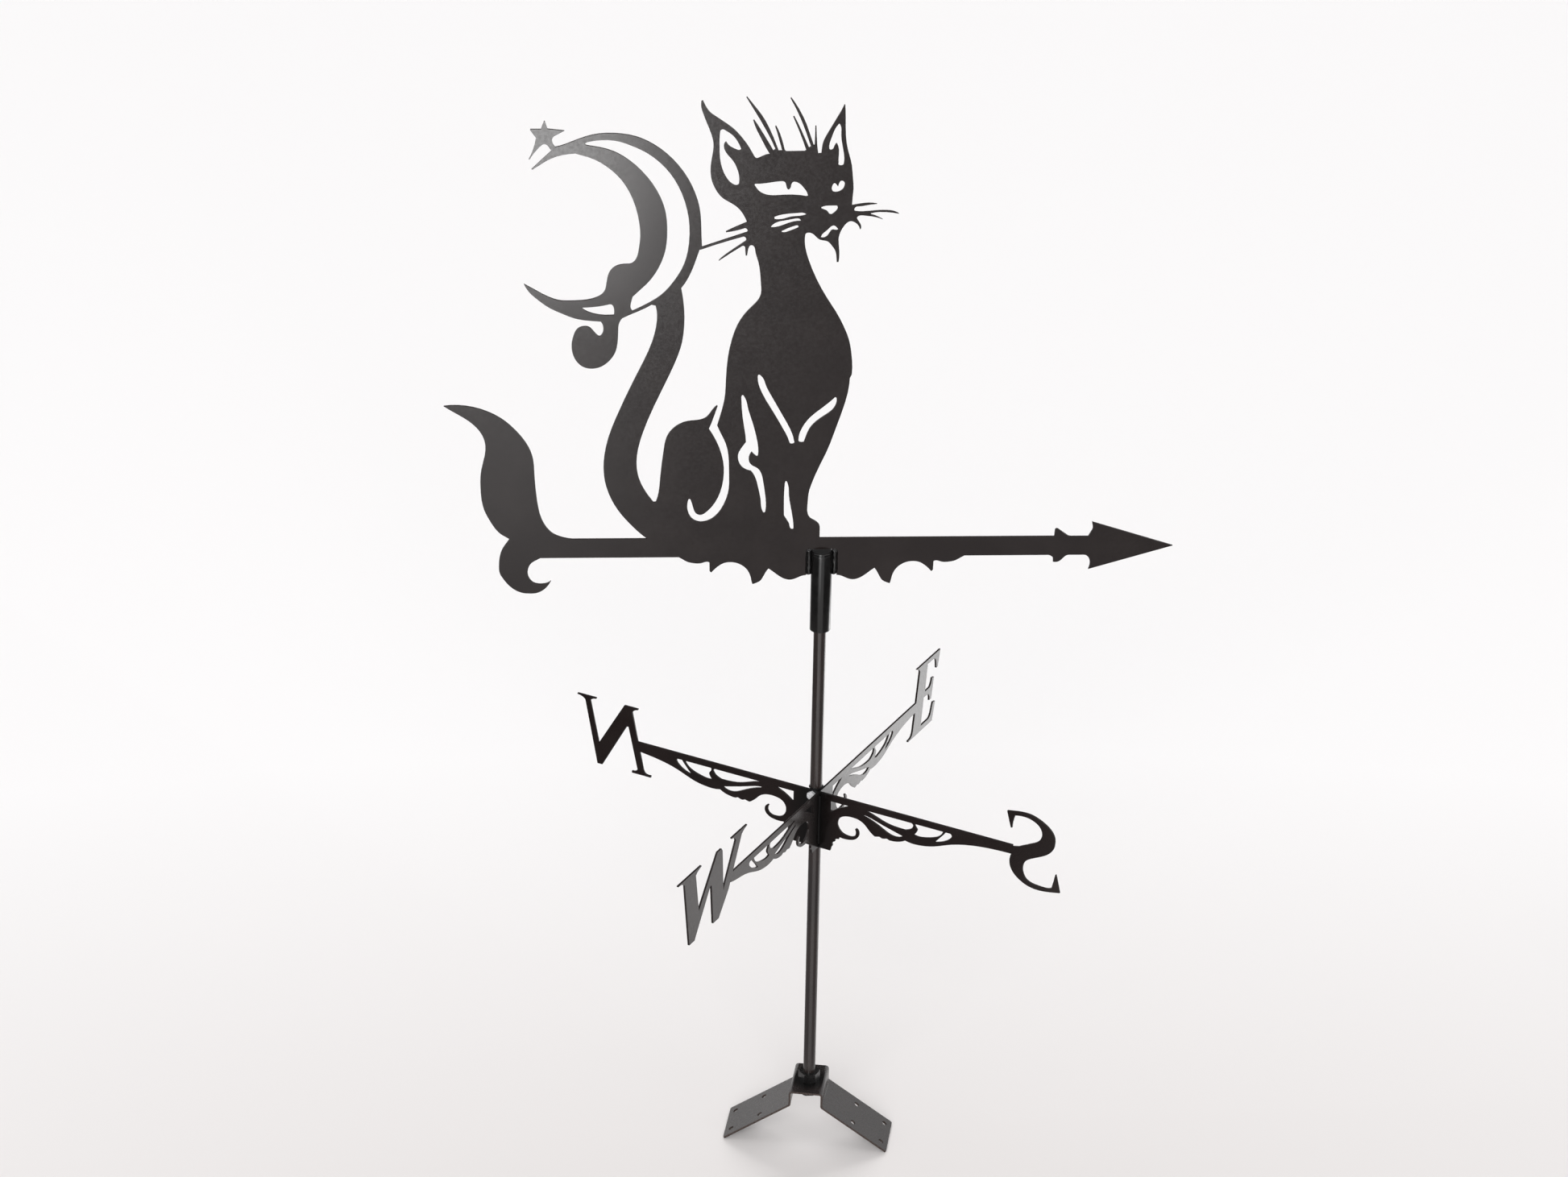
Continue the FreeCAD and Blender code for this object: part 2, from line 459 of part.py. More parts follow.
letter_shares = {
    "N": [
        [(0.9025, -0.1825)],
        [(1.01, -0.1825)],
        [(1.01, -0.172)],
        [(0.990, -0.168), (0.978, -0.155)],
        [(1.030, 0.070)],
        [(1.040, 0.070)],
        [(1.180, -0.1825)],
        [(1.2075, -0.1825)],
        [(1.277, 0.160)],
        [(1.290, 0.170), (1.322, 0.178)],
        [(1.322, 0.184)],
        [(1.215, 0.184)],
        [(1.215, 0.178)],
        [(1.240, 0.170), (1.249, 0.160)],
        [(1.200, -0.065)],
        [(1.055, 0.184)],
        [(0.977, 0.184)],
        [(0.977, 0.178)],
        [(1.000, 0.168), (1.010, 0.155)],
        [(0.945, -0.150)],
        [(0.938, -0.165), (0.9025, -0.172)],
    ],
    "S": [
        [(1.0425, 0.1775)],
        [(1.075, 0.183), (1.12, 0.189), (1.165, 0.188), (1.215, 0.172), (1.26, 0.145),
         (1.29, 0.110), (1.2985, 0.070), (1.29, 0.030), (1.265, 0.0), (1.225, -0.025),
         (1.18, -0.0475), (1.15, -0.070), (1.1375, -0.100), (1.139, -0.135), (1.155, -0.165),
         (1.19, -0.1825), (1.235, -0.1875), (1.275, -0.185), (1.292, -0.175)],
        [(1.298, -0.150), (1.308, -0.100)],
        [(1.3125, -0.100)],
        [(1.335, -0.1925)],
        [(1.31, -0.1975), (1.26, -0.206), (1.215, -0.2085), (1.165, -0.200), (1.12, -0.1775),
         (1.085, -0.145), (1.0675, -0.105), (1.0675, -0.070), (1.0725, -0.052)],
        [(1.0725, -0.010)],
        [(1.11, -0.001)],
        [(1.14, 0.015), (1.18, 0.035), (1.215, 0.060), (1.23, 0.095), (1.22, 0.130),
         (1.19, 0.155), (1.15, 0.1675), (1.11, 0.1675), (1.085, 0.1625)],
        [(1.0785, 0.140), (1.0725, 0.0925)],
        [(1.065, 0.0925)],
    ],
    "E": [
        [(0.935, -0.1875)],
        [(1.205, -0.1875)],
        [(1.235, -0.0875)],
        [(1.212, -0.083)],
        [(1.195, -0.120), (1.180, -0.148), (1.160, -0.158)],
        [(1.075, -0.158)],
        [(1.100, -0.008)],
        [(1.145, -0.008)],
        [(1.160, -0.020), (1.165, -0.052)],
        [(1.187, -0.052)],
        [(1.212, 0.062)],
        [(1.190, 0.065)],
        [(1.178, 0.035), (1.165, 0.022)],
        [(1.112, 0.022)],
        [(1.135, 0.168)],
        [(1.200, 0.168)],
        [(1.225, 0.155), (1.232, 0.135), (1.235, 0.102)],
        [(1.252, 0.102)],
        [(1.277, 0.192)],
        [(1.010, 0.192)],
        [(1.035, 0.180), (1.047, 0.165)],
        [(0.985, -0.150)],
        [(0.975, -0.168), (0.935, -0.178)],
    ],
    "W": [
        [(1.45, 0.188)],
        [(1.23, 0.188)],
        [(1.23, 0.182)],
        [(1.265, 0.172), (1.283, 0.160)],
        [(1.25, -0.045)],
        [(1.075, 0.180)],
        [(1.035, 0.180)],
        [(1.025, 0.165)],
        [(1.0125, -0.055)],
        [(0.895, 0.155)],
        [(0.905, 0.170), (0.935, 0.182)],
        [(0.935, 0.188)],
        [(0.785, 0.188)],
        [(0.785, 0.182)],
        [(0.820, 0.172), (0.838, 0.160)],
        [(0.960, -0.075)],
        [(1.055, -0.1875)],
        [(1.11, -0.1875)],
        [(1.13, 0.030)],
        [(1.142, 0.030)],
        [(1.29, -0.1875)],
        [(1.34, -0.1875)],
        [(1.39, 0.160)],
        [(1.405, 0.172), (1.45, 0.182)],
    ],
}
bar_end_shares = {"N": 0.98, "S": 1.08, "E": 1.03, "W": 0.94}


def vector(x, y, z):
    return FreeCAD.Vector(x, y, z)


def outline_edges(runs, size, line_height):
    """Edges in the XZ plane: a run of one point is a line, a longer run a smooth curve."""
    points = [[vector(size * x, 0, line_height + size * z) for x, z in run] for run in runs]
    last = points[0][0]
    edges = []
    for run in points[1:] + [points[0]]:
        start = last
        last = run[-1]
        if (start - last).Length == 0:
            continue
        if len(run) == 1:
            edges.append(Part.makeLine(start, last))
        else:
            curve = Part.BSplineCurve()
            curve.interpolate([start] + run)
            edges.append(curve.toShape())
    return edges


def sheet_piece(runs, size, line_height, thickness):
    """A sheet of the given outline, standing across the Y axis on the XZ plane."""
    face = Part.Face(Part.Wire(outline_edges(runs, size, line_height)))
    face.translate(vector(0, -thickness / 2, 0))
    return face.extrude(vector(0, thickness, 0))


def box_between(low, high):
    """A box between two corners."""
    size = high - low
    return Part.makeBox(size.x, size.y, size.z, low)


def hexagon_prism(flats, height, base):
    """An upright hexagon with a flat facing the X axis' side."""
    corner = flats / 2 / math.cos(math.radians(30))
    points = []
    for step in range(6):
        angle = math.radians(60 * step)
        points.append(base + vector(corner * math.cos(angle), corner * math.sin(angle), 0))
    return Part.Face(Part.makePolygon(points + points[:1])).extrude(vector(0, 0, height))


def chamfered_hexagon(flats, height, base, chamfer):
    """A nut's blank: a hexagon whose corners are turned off at top and bottom."""
    blank = hexagon_prism(flats, height, base)
    corner = flats / 2 / math.cos(math.radians(30))
    for end, way in ((base, 1), (base + vector(0, 0, height), -1)):
        up = vector(0, 0, way)
        turned = Part.makeCone(corner - chamfer, corner + height, height + chamfer, end, up)
        blank = blank.common(turned)
    return blank


def rounded_polygon(points, radii):
    """A closed wire through points, each corner rounded by its own radius (0 leaves it sharp)."""
    edges = []
    starts = []
    ends = []
    middles = []
    for index, corner in enumerate(points):
        before = points[index - 1] - corner
        after = points[(index + 1) % len(points)] - corner
        radius = radii[index]
        if radius == 0:
            starts.append(corner)
            ends.append(corner)
            middles.append(None)
            continue
        before = before.normalize()
        after = after.normalize()
        half = before.getAngle(after) / 2
        reach = radius / math.tan(half)
        centre = corner + (before + after).normalize() * (radius / math.sin(half))
        starts.append(corner + before * reach)
        ends.append(corner + after * reach)
        middles.append(centre + (corner - centre).normalize() * radius)
    for index, corner in enumerate(points):
        if middles[index] is not None:
            edges.append(Part.Arc(starts[index], middles[index], ends[index]).toShape())
        edges.append(Part.makeLine(ends[index], starts[(index + 1) % len(points)]))
    return Part.Wire(edges)


def turned_about_z(shape, degrees):
    shape = shape.copy()
    shape.rotate(vector(0, 0, 0), vector(0, 0, 1), degrees)
    return shape


def single_solid(shape):
    """The one solid of a fused or cut shape."""
    shape = shape.removeSplitter()
    return shape.Solids[0]


def wing_bend():
    """Top corner where the right wing leaves its web."""
    return vector(bracket_top_width / 2, 0, -bracket_drop)


def wing_direction():
    slope = math.radians(wing_slope)
    return vector(math.cos(slope), 0, -math.sin(slope))


def wing_normal():
    slope = math.radians(wing_slope)
    return vector(math.sin(slope), 0, math.cos(slope))


def ridge_bracket():
    """Bent flat bar: a top plate, two short webs and two sloping wings with screw holes."""
    slope = math.radians(wing_slope)
    half = bracket_top_width / 2
    inner = half - bracket_thickness
    end_top = wing_bend() + wing_direction() * wing_length
    end_low = end_top - wing_normal() * bracket_thickness
    bend_low_height = -bracket_drop + math.tan(slope) * bracket_thickness
    bend_low_height -= bracket_thickness / math.cos(slope)
    right = [
        vector(half, 0, 0),
        wing_bend(),
        end_top,
        end_low,
        vector(inner, 0, bend_low_height),
        vector(inner, 0, -bracket_thickness),
    ]
    outer = bend_radius + bracket_thickness
    right_radii = [outer, bend_radius, 0, 0, outer, bend_radius]
    left = [vector(-point.x, 0, point.z) for point in reversed(right)]
    profile = rounded_polygon(right + left, right_radii + right_radii[::-1])
    face = Part.Face(profile)
    face.translate(vector(0, -bracket_depth / 2, 0))
    strip = face.extrude(vector(0, bracket_depth, 0))
    corners = [vector(x * end_top.x, y * bracket_depth / 2, end_low.z)
               for x, y in ((-1, -1), (1, -1), (1, 1), (-1, 1))]
    plan = Part.Face(rounded_polygon(corners, [bracket_corner_radius] * 4))
    strip = strip.common(plan.extrude(vector(0, 0, -end_low.z)))
    hole_radius = mast_diameter / 2 + mast_hole_clearance
    cuts = [Part.makeCylinder(hole_radius, bracket_thickness + 2 * overrun,
                              vector(0, 0, -bracket_thickness - overrun))]
    depth = bracket_thickness + 2 * overrun
    for side in (0, 180):
        for reach in (wing_hole_first, wing_hole_first + wing_hole_pitch):
            for across in (-wing_hole_spread / 2, wing_hole_spread / 2):
                start = wing_bend() + wing_direction() * reach + wing_normal() * overrun
                start += vector(0, across, 0)
                hole = Part.makeCylinder(wing_hole_diameter / 2, depth, start, -wing_normal())
                cuts.append(turned_about_z(hole, side))
    return single_solid(strip.cut(cuts))


def bracket_stretch(low, high):
    """The bent bar between two places across the ridge, turned to its place."""
    reach = bracket_depth + wing_length
    block = box_between(vector(low, -reach, -reach), vector(high, reach, overrun))
    return turned_about_z(single_solid(the_bracket.common(block)), bracket_turn)


def notch_top_height():
    return vane_line_height - notch_top_drop


def cap_top_height():
    return notch_top_height() - cap_gap


def sleeve_top_height():
    return cap_top_height() - cap_thickness


def sleeve_bottom_height():
    return sleeve_top_height() - sleeve_length


def thrust_height():
    """Height of the underside of the thrust disc, which runs on the ball."""
    return sleeve_top_height() - spigot_length - thrust_disc_thickness


def ball_centre():
    return vector(0, 0, thrust_height() - running_clearance - ball_diameter / 2)


def mast_top_height():
    return ball_centre().z - ball_diameter / 2 + ball_seat_depth


def mast():
    """Round bar with a threaded foot and a cup in its top for the ball."""
    length = mast_top_height() + mast_foot_length
    bar = Part.makeCylinder(mast_diameter / 2, length, vector(0, 0, -mast_foot_length))
    foot_edges = [edge for edge in bar.Edges if edge.BoundBox.ZMax < 0]
    top_edges = [edge for edge in bar.Edges if edge.BoundBox.ZMin > 0]
    bar = bar.makeChamfer(foot_chamfer, foot_edges + top_edges)
    cuts = [pivot_ball()]
    reach = mast_diameter + 2 * overrun
    start = hub_bolt_centre() - east() * (reach / 2)
    cuts.append(Part.makeCylinder(hub_bolt_diameter / 2, reach, start, east()))
    return bar.cut(cuts).Solids[0]


def hub_bolt_centre():
    return vector(0, 0, compass_line_height - hub_bolt_drop)


def pivot_ball():
    return Part.makeSphere(ball_diameter / 2, ball_centre())


def foot_nut(base_height):
    blank = chamfered_hexagon(nut_flats, nut_height, vector(0, 0, base_height), nut_chamfer)
    bore = Part.makeCylinder(mast_diameter / 2, nut_height, vector(0, 0, base_height))
    return blank.cut(bore).Solids[0]


def lower_washer():
    base = vector(0, 0, -bracket_thickness - washer_thickness)
    disc = Part.makeCylinder(washer_diameter / 2, washer_thickness, base)
    return disc.cut(Part.makeCylinder(mast_diameter / 2, washer_thickness, base))


def north():
    angle = math.radians(compass_turn)
    return vector(-math.cos(angle), math.sin(angle), 0)


def east():
    angle = math.radians(compass_turn)
    return vector(math.sin(angle), math.cos(angle), 0)


def plate_offset():
    """Distance of a compass plate's middle from the mast's axis: the plate touches the mast."""
    return (mast_diameter + plate_thickness) / 2


def arm_runs(letter):
    end = bar_end_shares[letter]
    bar = [[arm_top_shares[0]], [arm_top_shares[1]], [(end, 0.0)], [(end, -bar_thickness_share)]]
    return bar + arm_underside_shares


def compass_plate(near, far, slot_is_low):
    """A compass plate in the XZ plane, letter near on the -X side and letter far on the +X side,
    with the half-lap slot for the other plate."""
    arms = []
    for letter, side in ((far, 1), (near, -1)):
        arm = sheet_piece(arm_runs(letter), arm_reach, compass_line_height, plate_thickness)
        sign = sheet_piece(letter_shares[letter], arm_reach, compass_line_height, plate_thickness)
        arm = arm.fuse(sign)
        holes = [sheet_piece(runs, arm_reach, compass_line_height, plate_thickness)
                 for runs in arm_hole_shares]
        arm = arm.cut(holes)
        if side < 0:
            arm = arm.mirror(vector(0, 0, 0), vector(1, 0, 0))
        arms.append(arm)
    plate = arms[0].fuse(arms[1])
    bottom = hub_bottom_height()
    middle = (bottom + compass_line_height) / 2
    half_slot = plate_thickness / 2 + lap_clearance
    low = bottom - overrun if slot_is_low else middle - lap_clearance
    high = middle + lap_clearance if slot_is_low else compass_line_height + overrun
    slot = box_between(
        vector(-plate_offset() - half_slot, -plate_thickness, low),
        vector(-plate_offset() + half_slot, plate_thickness, high),
    )
    return single_solid(plate.cut(slot))


def hub_bottom_height():
    return compass_line_height + arm_reach * arm_top_shares[0][1]


def placed_compass_plate(plate, along, across):
    """Stands a plate that was drawn along +X on the line of along, beside the mast."""
    degrees = math.degrees(math.atan2(along.y, along.x))
    plate = turned_about_z(plate, degrees)
    plate.translate(across * -plate_offset())
    return plate


def hub_bolt_hole():
    """The clearance hole for the bolt through the plate that its head lies on."""
    reach = plate_offset() + plate_thickness + overrun
    radius = hub_bolt_diameter / 2 + hub_hole_clearance
    return Part.makeCylinder(radius, reach, hub_bolt_centre(), -east())


def hub_bolt():
    """A hexagon bolt whose head lies on the plate's outer face, through the mast to its nut."""
    head_start = -plate_offset() - plate_thickness / 2 - hub_bolt_head_height
    shank_end = mast_diameter / 2 + hub_nut_height + hub_bolt_tail
    chamfer = hub_bolt_head_height / 8
    base = vector(0, 0, head_start)
    head = chamfered_hexagon(hub_bolt_flats, hub_bolt_head_height, base, chamfer)
    shank = Part.makeCylinder(hub_bolt_diameter / 2, shank_end - head_start, base)
    return laid_along(single_solid(head.fuse(shank)), east(), hub_bolt_centre())


def hub_nut():
    base = vector(0, 0, mast_diameter / 2)
    blank = chamfered_hexagon(hub_bolt_flats, hub_nut_height, base, hub_nut_height / 8)
    bore = Part.makeCylinder(hub_bolt_diameter / 2, hub_nut_height, base)
    return laid_along(blank.cut(bore).Solids[0], east(), hub_bolt_centre())


def capsule(radius, base, length):
    """An upright rod with round ends, length overall."""
    low = base + vector(0, 0, radius)
    high = base + vector(0, 0, length - radius)
    rod = Part.makeCylinder(radius, (high - low).Length, low)
    return single_solid(rod.fuse([Part.makeSphere(radius, low), Part.makeSphere(radius, high)]))


def corner_weld():
    """The upright weld in the corner that the two compass plates make on the side away from
    the mast."""
    reach = plate_offset() + plate_thickness / 2
    base = (east() + north()) * -reach
    base.z = hub_bottom_height() + corner_weld_inset
    height = compass_line_height - corner_weld_inset - base.z
    size = 2 * corner_weld_radius
    quarter = Part.makeBox(size, size, height)
    turn = math.degrees(math.atan2(-east().y, -east().x))
    if east().cross(north()).z < 0:
        turn -= 90
    quarter.rotate(vector(0, 0, 0), vector(0, 0, 1), turn)
    quarter.translate(base)
    return capsule(corner_weld_radius, base, height).common(quarter).Solids[0]


def mast_weld(edge_height, way):
    """A ring of fillet weld round the mast that lies on an edge of both compass plates: way 1
    stands on their top edges, -1 hangs under their bottom edges."""
    inner = mast_diameter / 2
    foot = vector(inner, 0, edge_height)
    toe = vector(inner + mast_weld_reach, 0, edge_height)
    top = vector(inner, 0, edge_height + way * mast_weld_reach)
    slant = mast_weld_reach * math.cos(math.radians(45))
    middle = vector(inner + slant, 0, edge_height + way * slant)
    edges = [
        Part.makeLine(foot, toe),
        Part.Arc(toe, middle, top).toShape(),
        Part.makeLine(top, foot),
    ]
    section = Part.Face(Part.Wire(edges))
    return section.revolve(vector(0, 0, 0), vector(0, 0, 1), 360)


def laid_along(shape, axis, centre):
    """Turns a piece drawn along +Z so that it lies along a level axis through centre."""
    shape = shape.copy()
    turn = FreeCAD.Rotation(vector(0, 0, 1), axis)
    shape.Placement = FreeCAD.Placement(centre, turn)
    return shape


def vane_sheet(runs):
    return sheet_piece(runs, vane_height, vane_line_height, plate_thickness)


def sleeve_notch():
    """The rounded slot in the beam's underside that the sleeve stands in."""
    half = notch_width / 2
    bottom = vane_line_height + vane_height * scallop_shares[0][0][1] - overrun
    corners = [vector(-half, 0, bottom), vector(half, 0, bottom),
               vector(half, 0, notch_top_height()), vector(-half, 0, notch_top_height())]
    face = Part.Face(rounded_polygon(corners, [0, 0, notch_radius, notch_radius]))
    face.translate(vector(0, -plate_thickness, 0))
    return face.extrude(vector(0, 2 * plate_thickness, 0))


def vane_plate():
    """Arrow, feather, cat, tail and moon, all cut from one sheet."""
    scallop = vane_sheet(scallop_shares)
    pieces = [
        vane_sheet(fletching_shares),
        vane_sheet(cat_shares),
        vane_sheet(moon_shares),
        vane_sheet(star_shares),
        scallop,
        scallop.mirror(vector(0, 0, 0), vector(1, 0, 0)),
    ]
    plate = vane_sheet(arrow_shares).fuse(pieces)
    slots = [
        moon_slot_shares, low_slot_shares, left_eye_shares, right_eye_shares, nose_shares,
        mouth_shares, left_ear_slot_shares, right_ear_slot_shares, left_chest_slot_shares,
        right_chest_slot_shares, leg_slot_shares, paw_slot_shares,
    ]
    holes = [vane_sheet(runs) for runs in slots + cheek_slot_shares]
    return single_solid(plate.cut(holes + [sleeve_notch()]))


def rotor_sleeve():
    base = vector(0, 0, sleeve_bottom_height())
    tube = Part.makeCylinder(sleeve_diameter / 2, sleeve_length, base)
    return tube.cut(Part.makeCylinder(sleeve_bore / 2, sleeve_length, base))


def sleeve_cap():
    """Lid with a spigot that plugs the sleeve's top."""
    top = sleeve_top_height()
    lid = Part.makeCylinder(sleeve_diameter / 2, cap_thickness, vector(0, 0, top))
    rim = [edge for edge in lid.Edges if edge.BoundBox.ZMin > top + cap_thickness / 2]
    lid = lid.makeFillet(cap_edge_radius, rim)
    base = vector(0, 0, top - spigot_length)
    spigot = Part.makeCylinder(sleeve_bore / 2, spigot_length, base)
    return single_solid(lid.fuse(spigot))


def thrust_disc():
    return Part.makeCylinder(sleeve_bore / 2, thrust_disc_thickness, vector(0, 0, thrust_height()))


def bush(base_height):
    base = vector(0, 0, base_height)
    outer = Part.makeCylinder(sleeve_bore / 2, bush_length, base)
    bore_radius = mast_diameter / 2 + running_clearance
    return outer.cut(Part.makeCylinder(bore_radius, bush_length, base))


def weld_bead(side):
    """The weld between the sleeve and one edge of the notch, proud of both faces."""
    middle = (sleeve_diameter + notch_width) / 4
    base = vector(side * middle, 0, notch_top_height() + bead_rise - bead_length)
    bead = capsule(bead_thickness / 2, base, bead_length)
    tube = Part.makeCylinder(sleeve_diameter / 2, sleeve_length + cap_thickness,
                             vector(0, 0, sleeve_bottom_height()))
    bead = bead.cut([tube, the_vane_plate])
    return max(bead.Solids, key=lambda solid: solid.Volume)


the_bracket = ridge_bracket()
bracket_half = bracket_top_width / 2 + wing_length
the_vane_plate = vane_plate()
the_mast = mast()
ns_node = placed_compass_plate(compass_plate("S", "N", True), north(), east())
ns_node = ns_node.cut(hub_bolt_hole()).Solids[0]
we_node = placed_compass_plate(compass_plate("W", "E", False), east(), north())
low_nut_height = -bracket_thickness - washer_thickness - nut_height
upper_bush_height = mast_top_height() - upper_bush_drop - bush_length

nodes = {
    "bracket_crown": bracket_stretch(-crown_half_width, crown_half_width),
    "bracket_wing_arrow_side": bracket_stretch(crown_half_width, bracket_half),
    "bracket_wing_tail_side": bracket_stretch(-bracket_half, -crown_half_width),
    "mast": the_mast,
    "upper_nut": foot_nut(0),
    "lower_nut": foot_nut(low_nut_height),
    "lower_washer": lower_washer(),
    "compass_plate_ns": ns_node,
    "compass_plate_we": we_node,
    "hub_bolt": hub_bolt(),
    "hub_nut": hub_nut(),
    "corner_weld": corner_weld(),
    "mast_weld_top": mast_weld(compass_line_height, 1),
    "mast_weld_bottom": mast_weld(hub_bottom_height(), -1),
    "pivot_ball": pivot_ball(),
    "vane_plate": the_vane_plate,
    "rotor_sleeve": rotor_sleeve(),
    "sleeve_cap": sleeve_cap(),
    "thrust_disc": thrust_disc(),
    "upper_bush": bush(upper_bush_height),
    "lower_bush": bush(sleeve_bottom_height()),
    "weld_bead_left": weld_bead(-1),
    "weld_bead_right": weld_bead(1),
}

os.makedirs("parts", exist_ok=True)
for name, shape in nodes.items():
    shape.exportStep(os.path.join("parts", name + ".step"))
    print(name, shape.isValid(), len(shape.Solids), round(shape.Volume, 1))
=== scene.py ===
import math

import bmesh
import bpy
from mathutils import Matrix, Vector, noise


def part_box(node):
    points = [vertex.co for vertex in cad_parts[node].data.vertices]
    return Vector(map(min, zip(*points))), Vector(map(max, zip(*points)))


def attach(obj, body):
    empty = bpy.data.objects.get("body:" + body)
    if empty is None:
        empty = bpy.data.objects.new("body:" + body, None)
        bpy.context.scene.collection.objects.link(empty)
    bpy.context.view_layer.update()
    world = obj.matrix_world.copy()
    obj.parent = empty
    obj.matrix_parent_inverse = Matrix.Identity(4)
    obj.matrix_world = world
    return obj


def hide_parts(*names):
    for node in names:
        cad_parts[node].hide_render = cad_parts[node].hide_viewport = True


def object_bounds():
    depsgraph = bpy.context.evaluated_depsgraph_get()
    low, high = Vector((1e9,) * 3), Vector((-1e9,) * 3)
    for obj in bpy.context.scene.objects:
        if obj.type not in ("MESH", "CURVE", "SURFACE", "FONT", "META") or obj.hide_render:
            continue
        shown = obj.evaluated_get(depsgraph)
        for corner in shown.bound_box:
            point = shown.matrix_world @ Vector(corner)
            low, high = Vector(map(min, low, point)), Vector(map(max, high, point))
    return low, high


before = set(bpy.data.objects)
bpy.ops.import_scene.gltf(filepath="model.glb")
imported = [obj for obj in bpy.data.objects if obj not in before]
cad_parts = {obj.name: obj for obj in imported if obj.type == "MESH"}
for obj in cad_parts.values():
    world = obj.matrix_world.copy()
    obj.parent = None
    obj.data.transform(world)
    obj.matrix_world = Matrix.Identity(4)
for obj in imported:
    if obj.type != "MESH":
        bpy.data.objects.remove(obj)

bl_info = {
    "name": "Cat weathervane",
    "version": (1, 0, 0),
    "blender": (4, 5, 0),
    "location": "3D View > Sidebar > Weathervane",
    "description": "Dresses the cat weathervane: bevelled plates, welds and coats",
    "category": "Object",
}

MM = 0.001
CAD_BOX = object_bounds()
BRACKET_NODES = ("bracket_crown", "bracket_wing_arrow_side", "bracket_wing_tail_side")
BRACKET_TURN = math.radians(-10.4)
CROWN_HALF_WIDTH = 20 * MM
WING_SLOPE = math.radians(34.7)
COMPASS_TURN = math.radians(30.9)

# Mesh work: vertices nearer than this are one, faces flatter than this are one, edges sharper
# than this stay sharp, and the cosines at which a face counts as lying square to a direction
MERGE_DISTANCE = 0.002 * MM
FLAT_ANGLE = math.radians(0.4)
SHARP_ANGLE = math.radians(42)
RIM_ANGLE = math.radians(60)
SQUARE = 0.999
VERY_SQUARE = 0.9998
THREAD_STEPS = 48
WELD_CUT_LENGTH = 1.2 * MM
WELD_FINE_LENGTH = 0.8 * MM

# Coats: sizes of their patterns, and strength and depth of their relief
NOISE_ROUGHNESS = 0.55
CLOUD_SIZE = 45 * MM
SPECKLE_SIZE = 2.6 * MM
PEEL_SIZE = 5 * MM
PAINT_CLOUD_SIZE = 9 * MM
PAINT_PEEL_SIZE = 2.2 * MM
STREAK_SIZE = 3 * MM
BAR_CLOUD_SIZE = 60 * MM
METAL_MARK_SIZE = 1.5 * MM
NYLON_MARK_SIZE = 0.8 * MM
GRAIN_RELIEF = (0.35, 0.04 * MM)
PEEL_RELIEF = (0.30, 0.06 * MM)
PAINT_RELIEF = (0.25, 0.05 * MM)
STREAK_RELIEF = (0.2, 0.03 * MM)
METAL_RELIEF = (0.15, 0.02 * MM)
NYLON_RELIEF = (0.2, 0.02 * MM)
COAT_SPREAD = 0.05
WET_ROUGHNESS = 0.16
CAP_FLAT_ROUGHNESS = 0.75
CAP_RIM_ROUGHNESS = 0.12
# Glossy black near the mast's axis, fading out between these distances: partly black overspray,
# partly painted shade at the hub's corners and painted shadow and reflection round the upper nut
HUB_OVERSPRAY_AND_SHADE = (11 * MM, 30 * MM)
NUT_OVERSPRAY_AND_SHADE = (13 * MM, 22 * MM)
STEEL_COLOUR = (0.62, 0.62, 0.64)
NYLON_COLOUR = (0.72, 0.69, 0.60)
NYLON_SHADE = (0.60, 0.57, 0.48)

# Stage, in metres, degrees and watts
FLOOR_HALF_WIDTH = 14
# Distances over which the floor fades from its darker near colour, which is painted shade, to
# its pale far colour
FLOOR_FADE = (0.15, 1.15)
FLAG_LIFT = 2 * MM
FLAG_STEPS = 24
FLAG_FADE = (0.85, 0.95)
FLAG_NEAR_COLOUR = (0.22, 0.205, 0.205)
FLAG_FAR_COLOUR = (0.04, 0.038, 0.038)
# Name, first heading, sweep, inner radius, outer radius
FLAGS = (
    ("flag_right_near", -64, 67, 0.12, 0.88),
    ("flag_right_far", -64, 91, 0.88, 4.5),
    ("flag_left", -232, 109, 0.12, 4.5),
)
CEILING_PLACE = (0.2, 2.7, 1.70)
CEILING_SIZE = (2.4, 2.0, 1)
CEILING_TILT = -57
# Name, place, point aimed at, width, watts, whether it shows in gloss only
LAMPS = (
    ("overhead_lamp", (-0.5, -0.2, 3.4), (0, 0, 0), 0.9, 5.0, False),
    ("glint_lamp", (-0.35, -0.75, 3.0), (0, 0, 0.5), 0.35, 11.0, True),
    ("moon_card", (-0.42, -1.36, 0.60), (-0.3, 0, 1.0), 0.52, 14.0, True),
    ("feather_card", (-0.38, -1.36, 0.10), (-0.3, 0, 0.68), 0.42, 0.8, True),
    ("east_card", (0.72, 0.60, -0.055), (0.72, 0.60, 1.0), 0.46, 2.0, True),
    ("west_card", (0.46, 0.15, -0.055), (0.46, 0.15, 1.0), 0.24, 0.10, True),
)
# Name and heading of the two broad, low lights
SUNS = (("front_light", -100), ("back_light", 80))
SUN_STRENGTH = 2.5
SUN_BREADTH = 50
SUN_HEIGHT = 21
SEEN_ROOM_COLOUR = (0.97, 0.96, 0.96, 1)
ROOM_LIGHT_COLOUR = (1.0, 0.985, 0.98, 1)


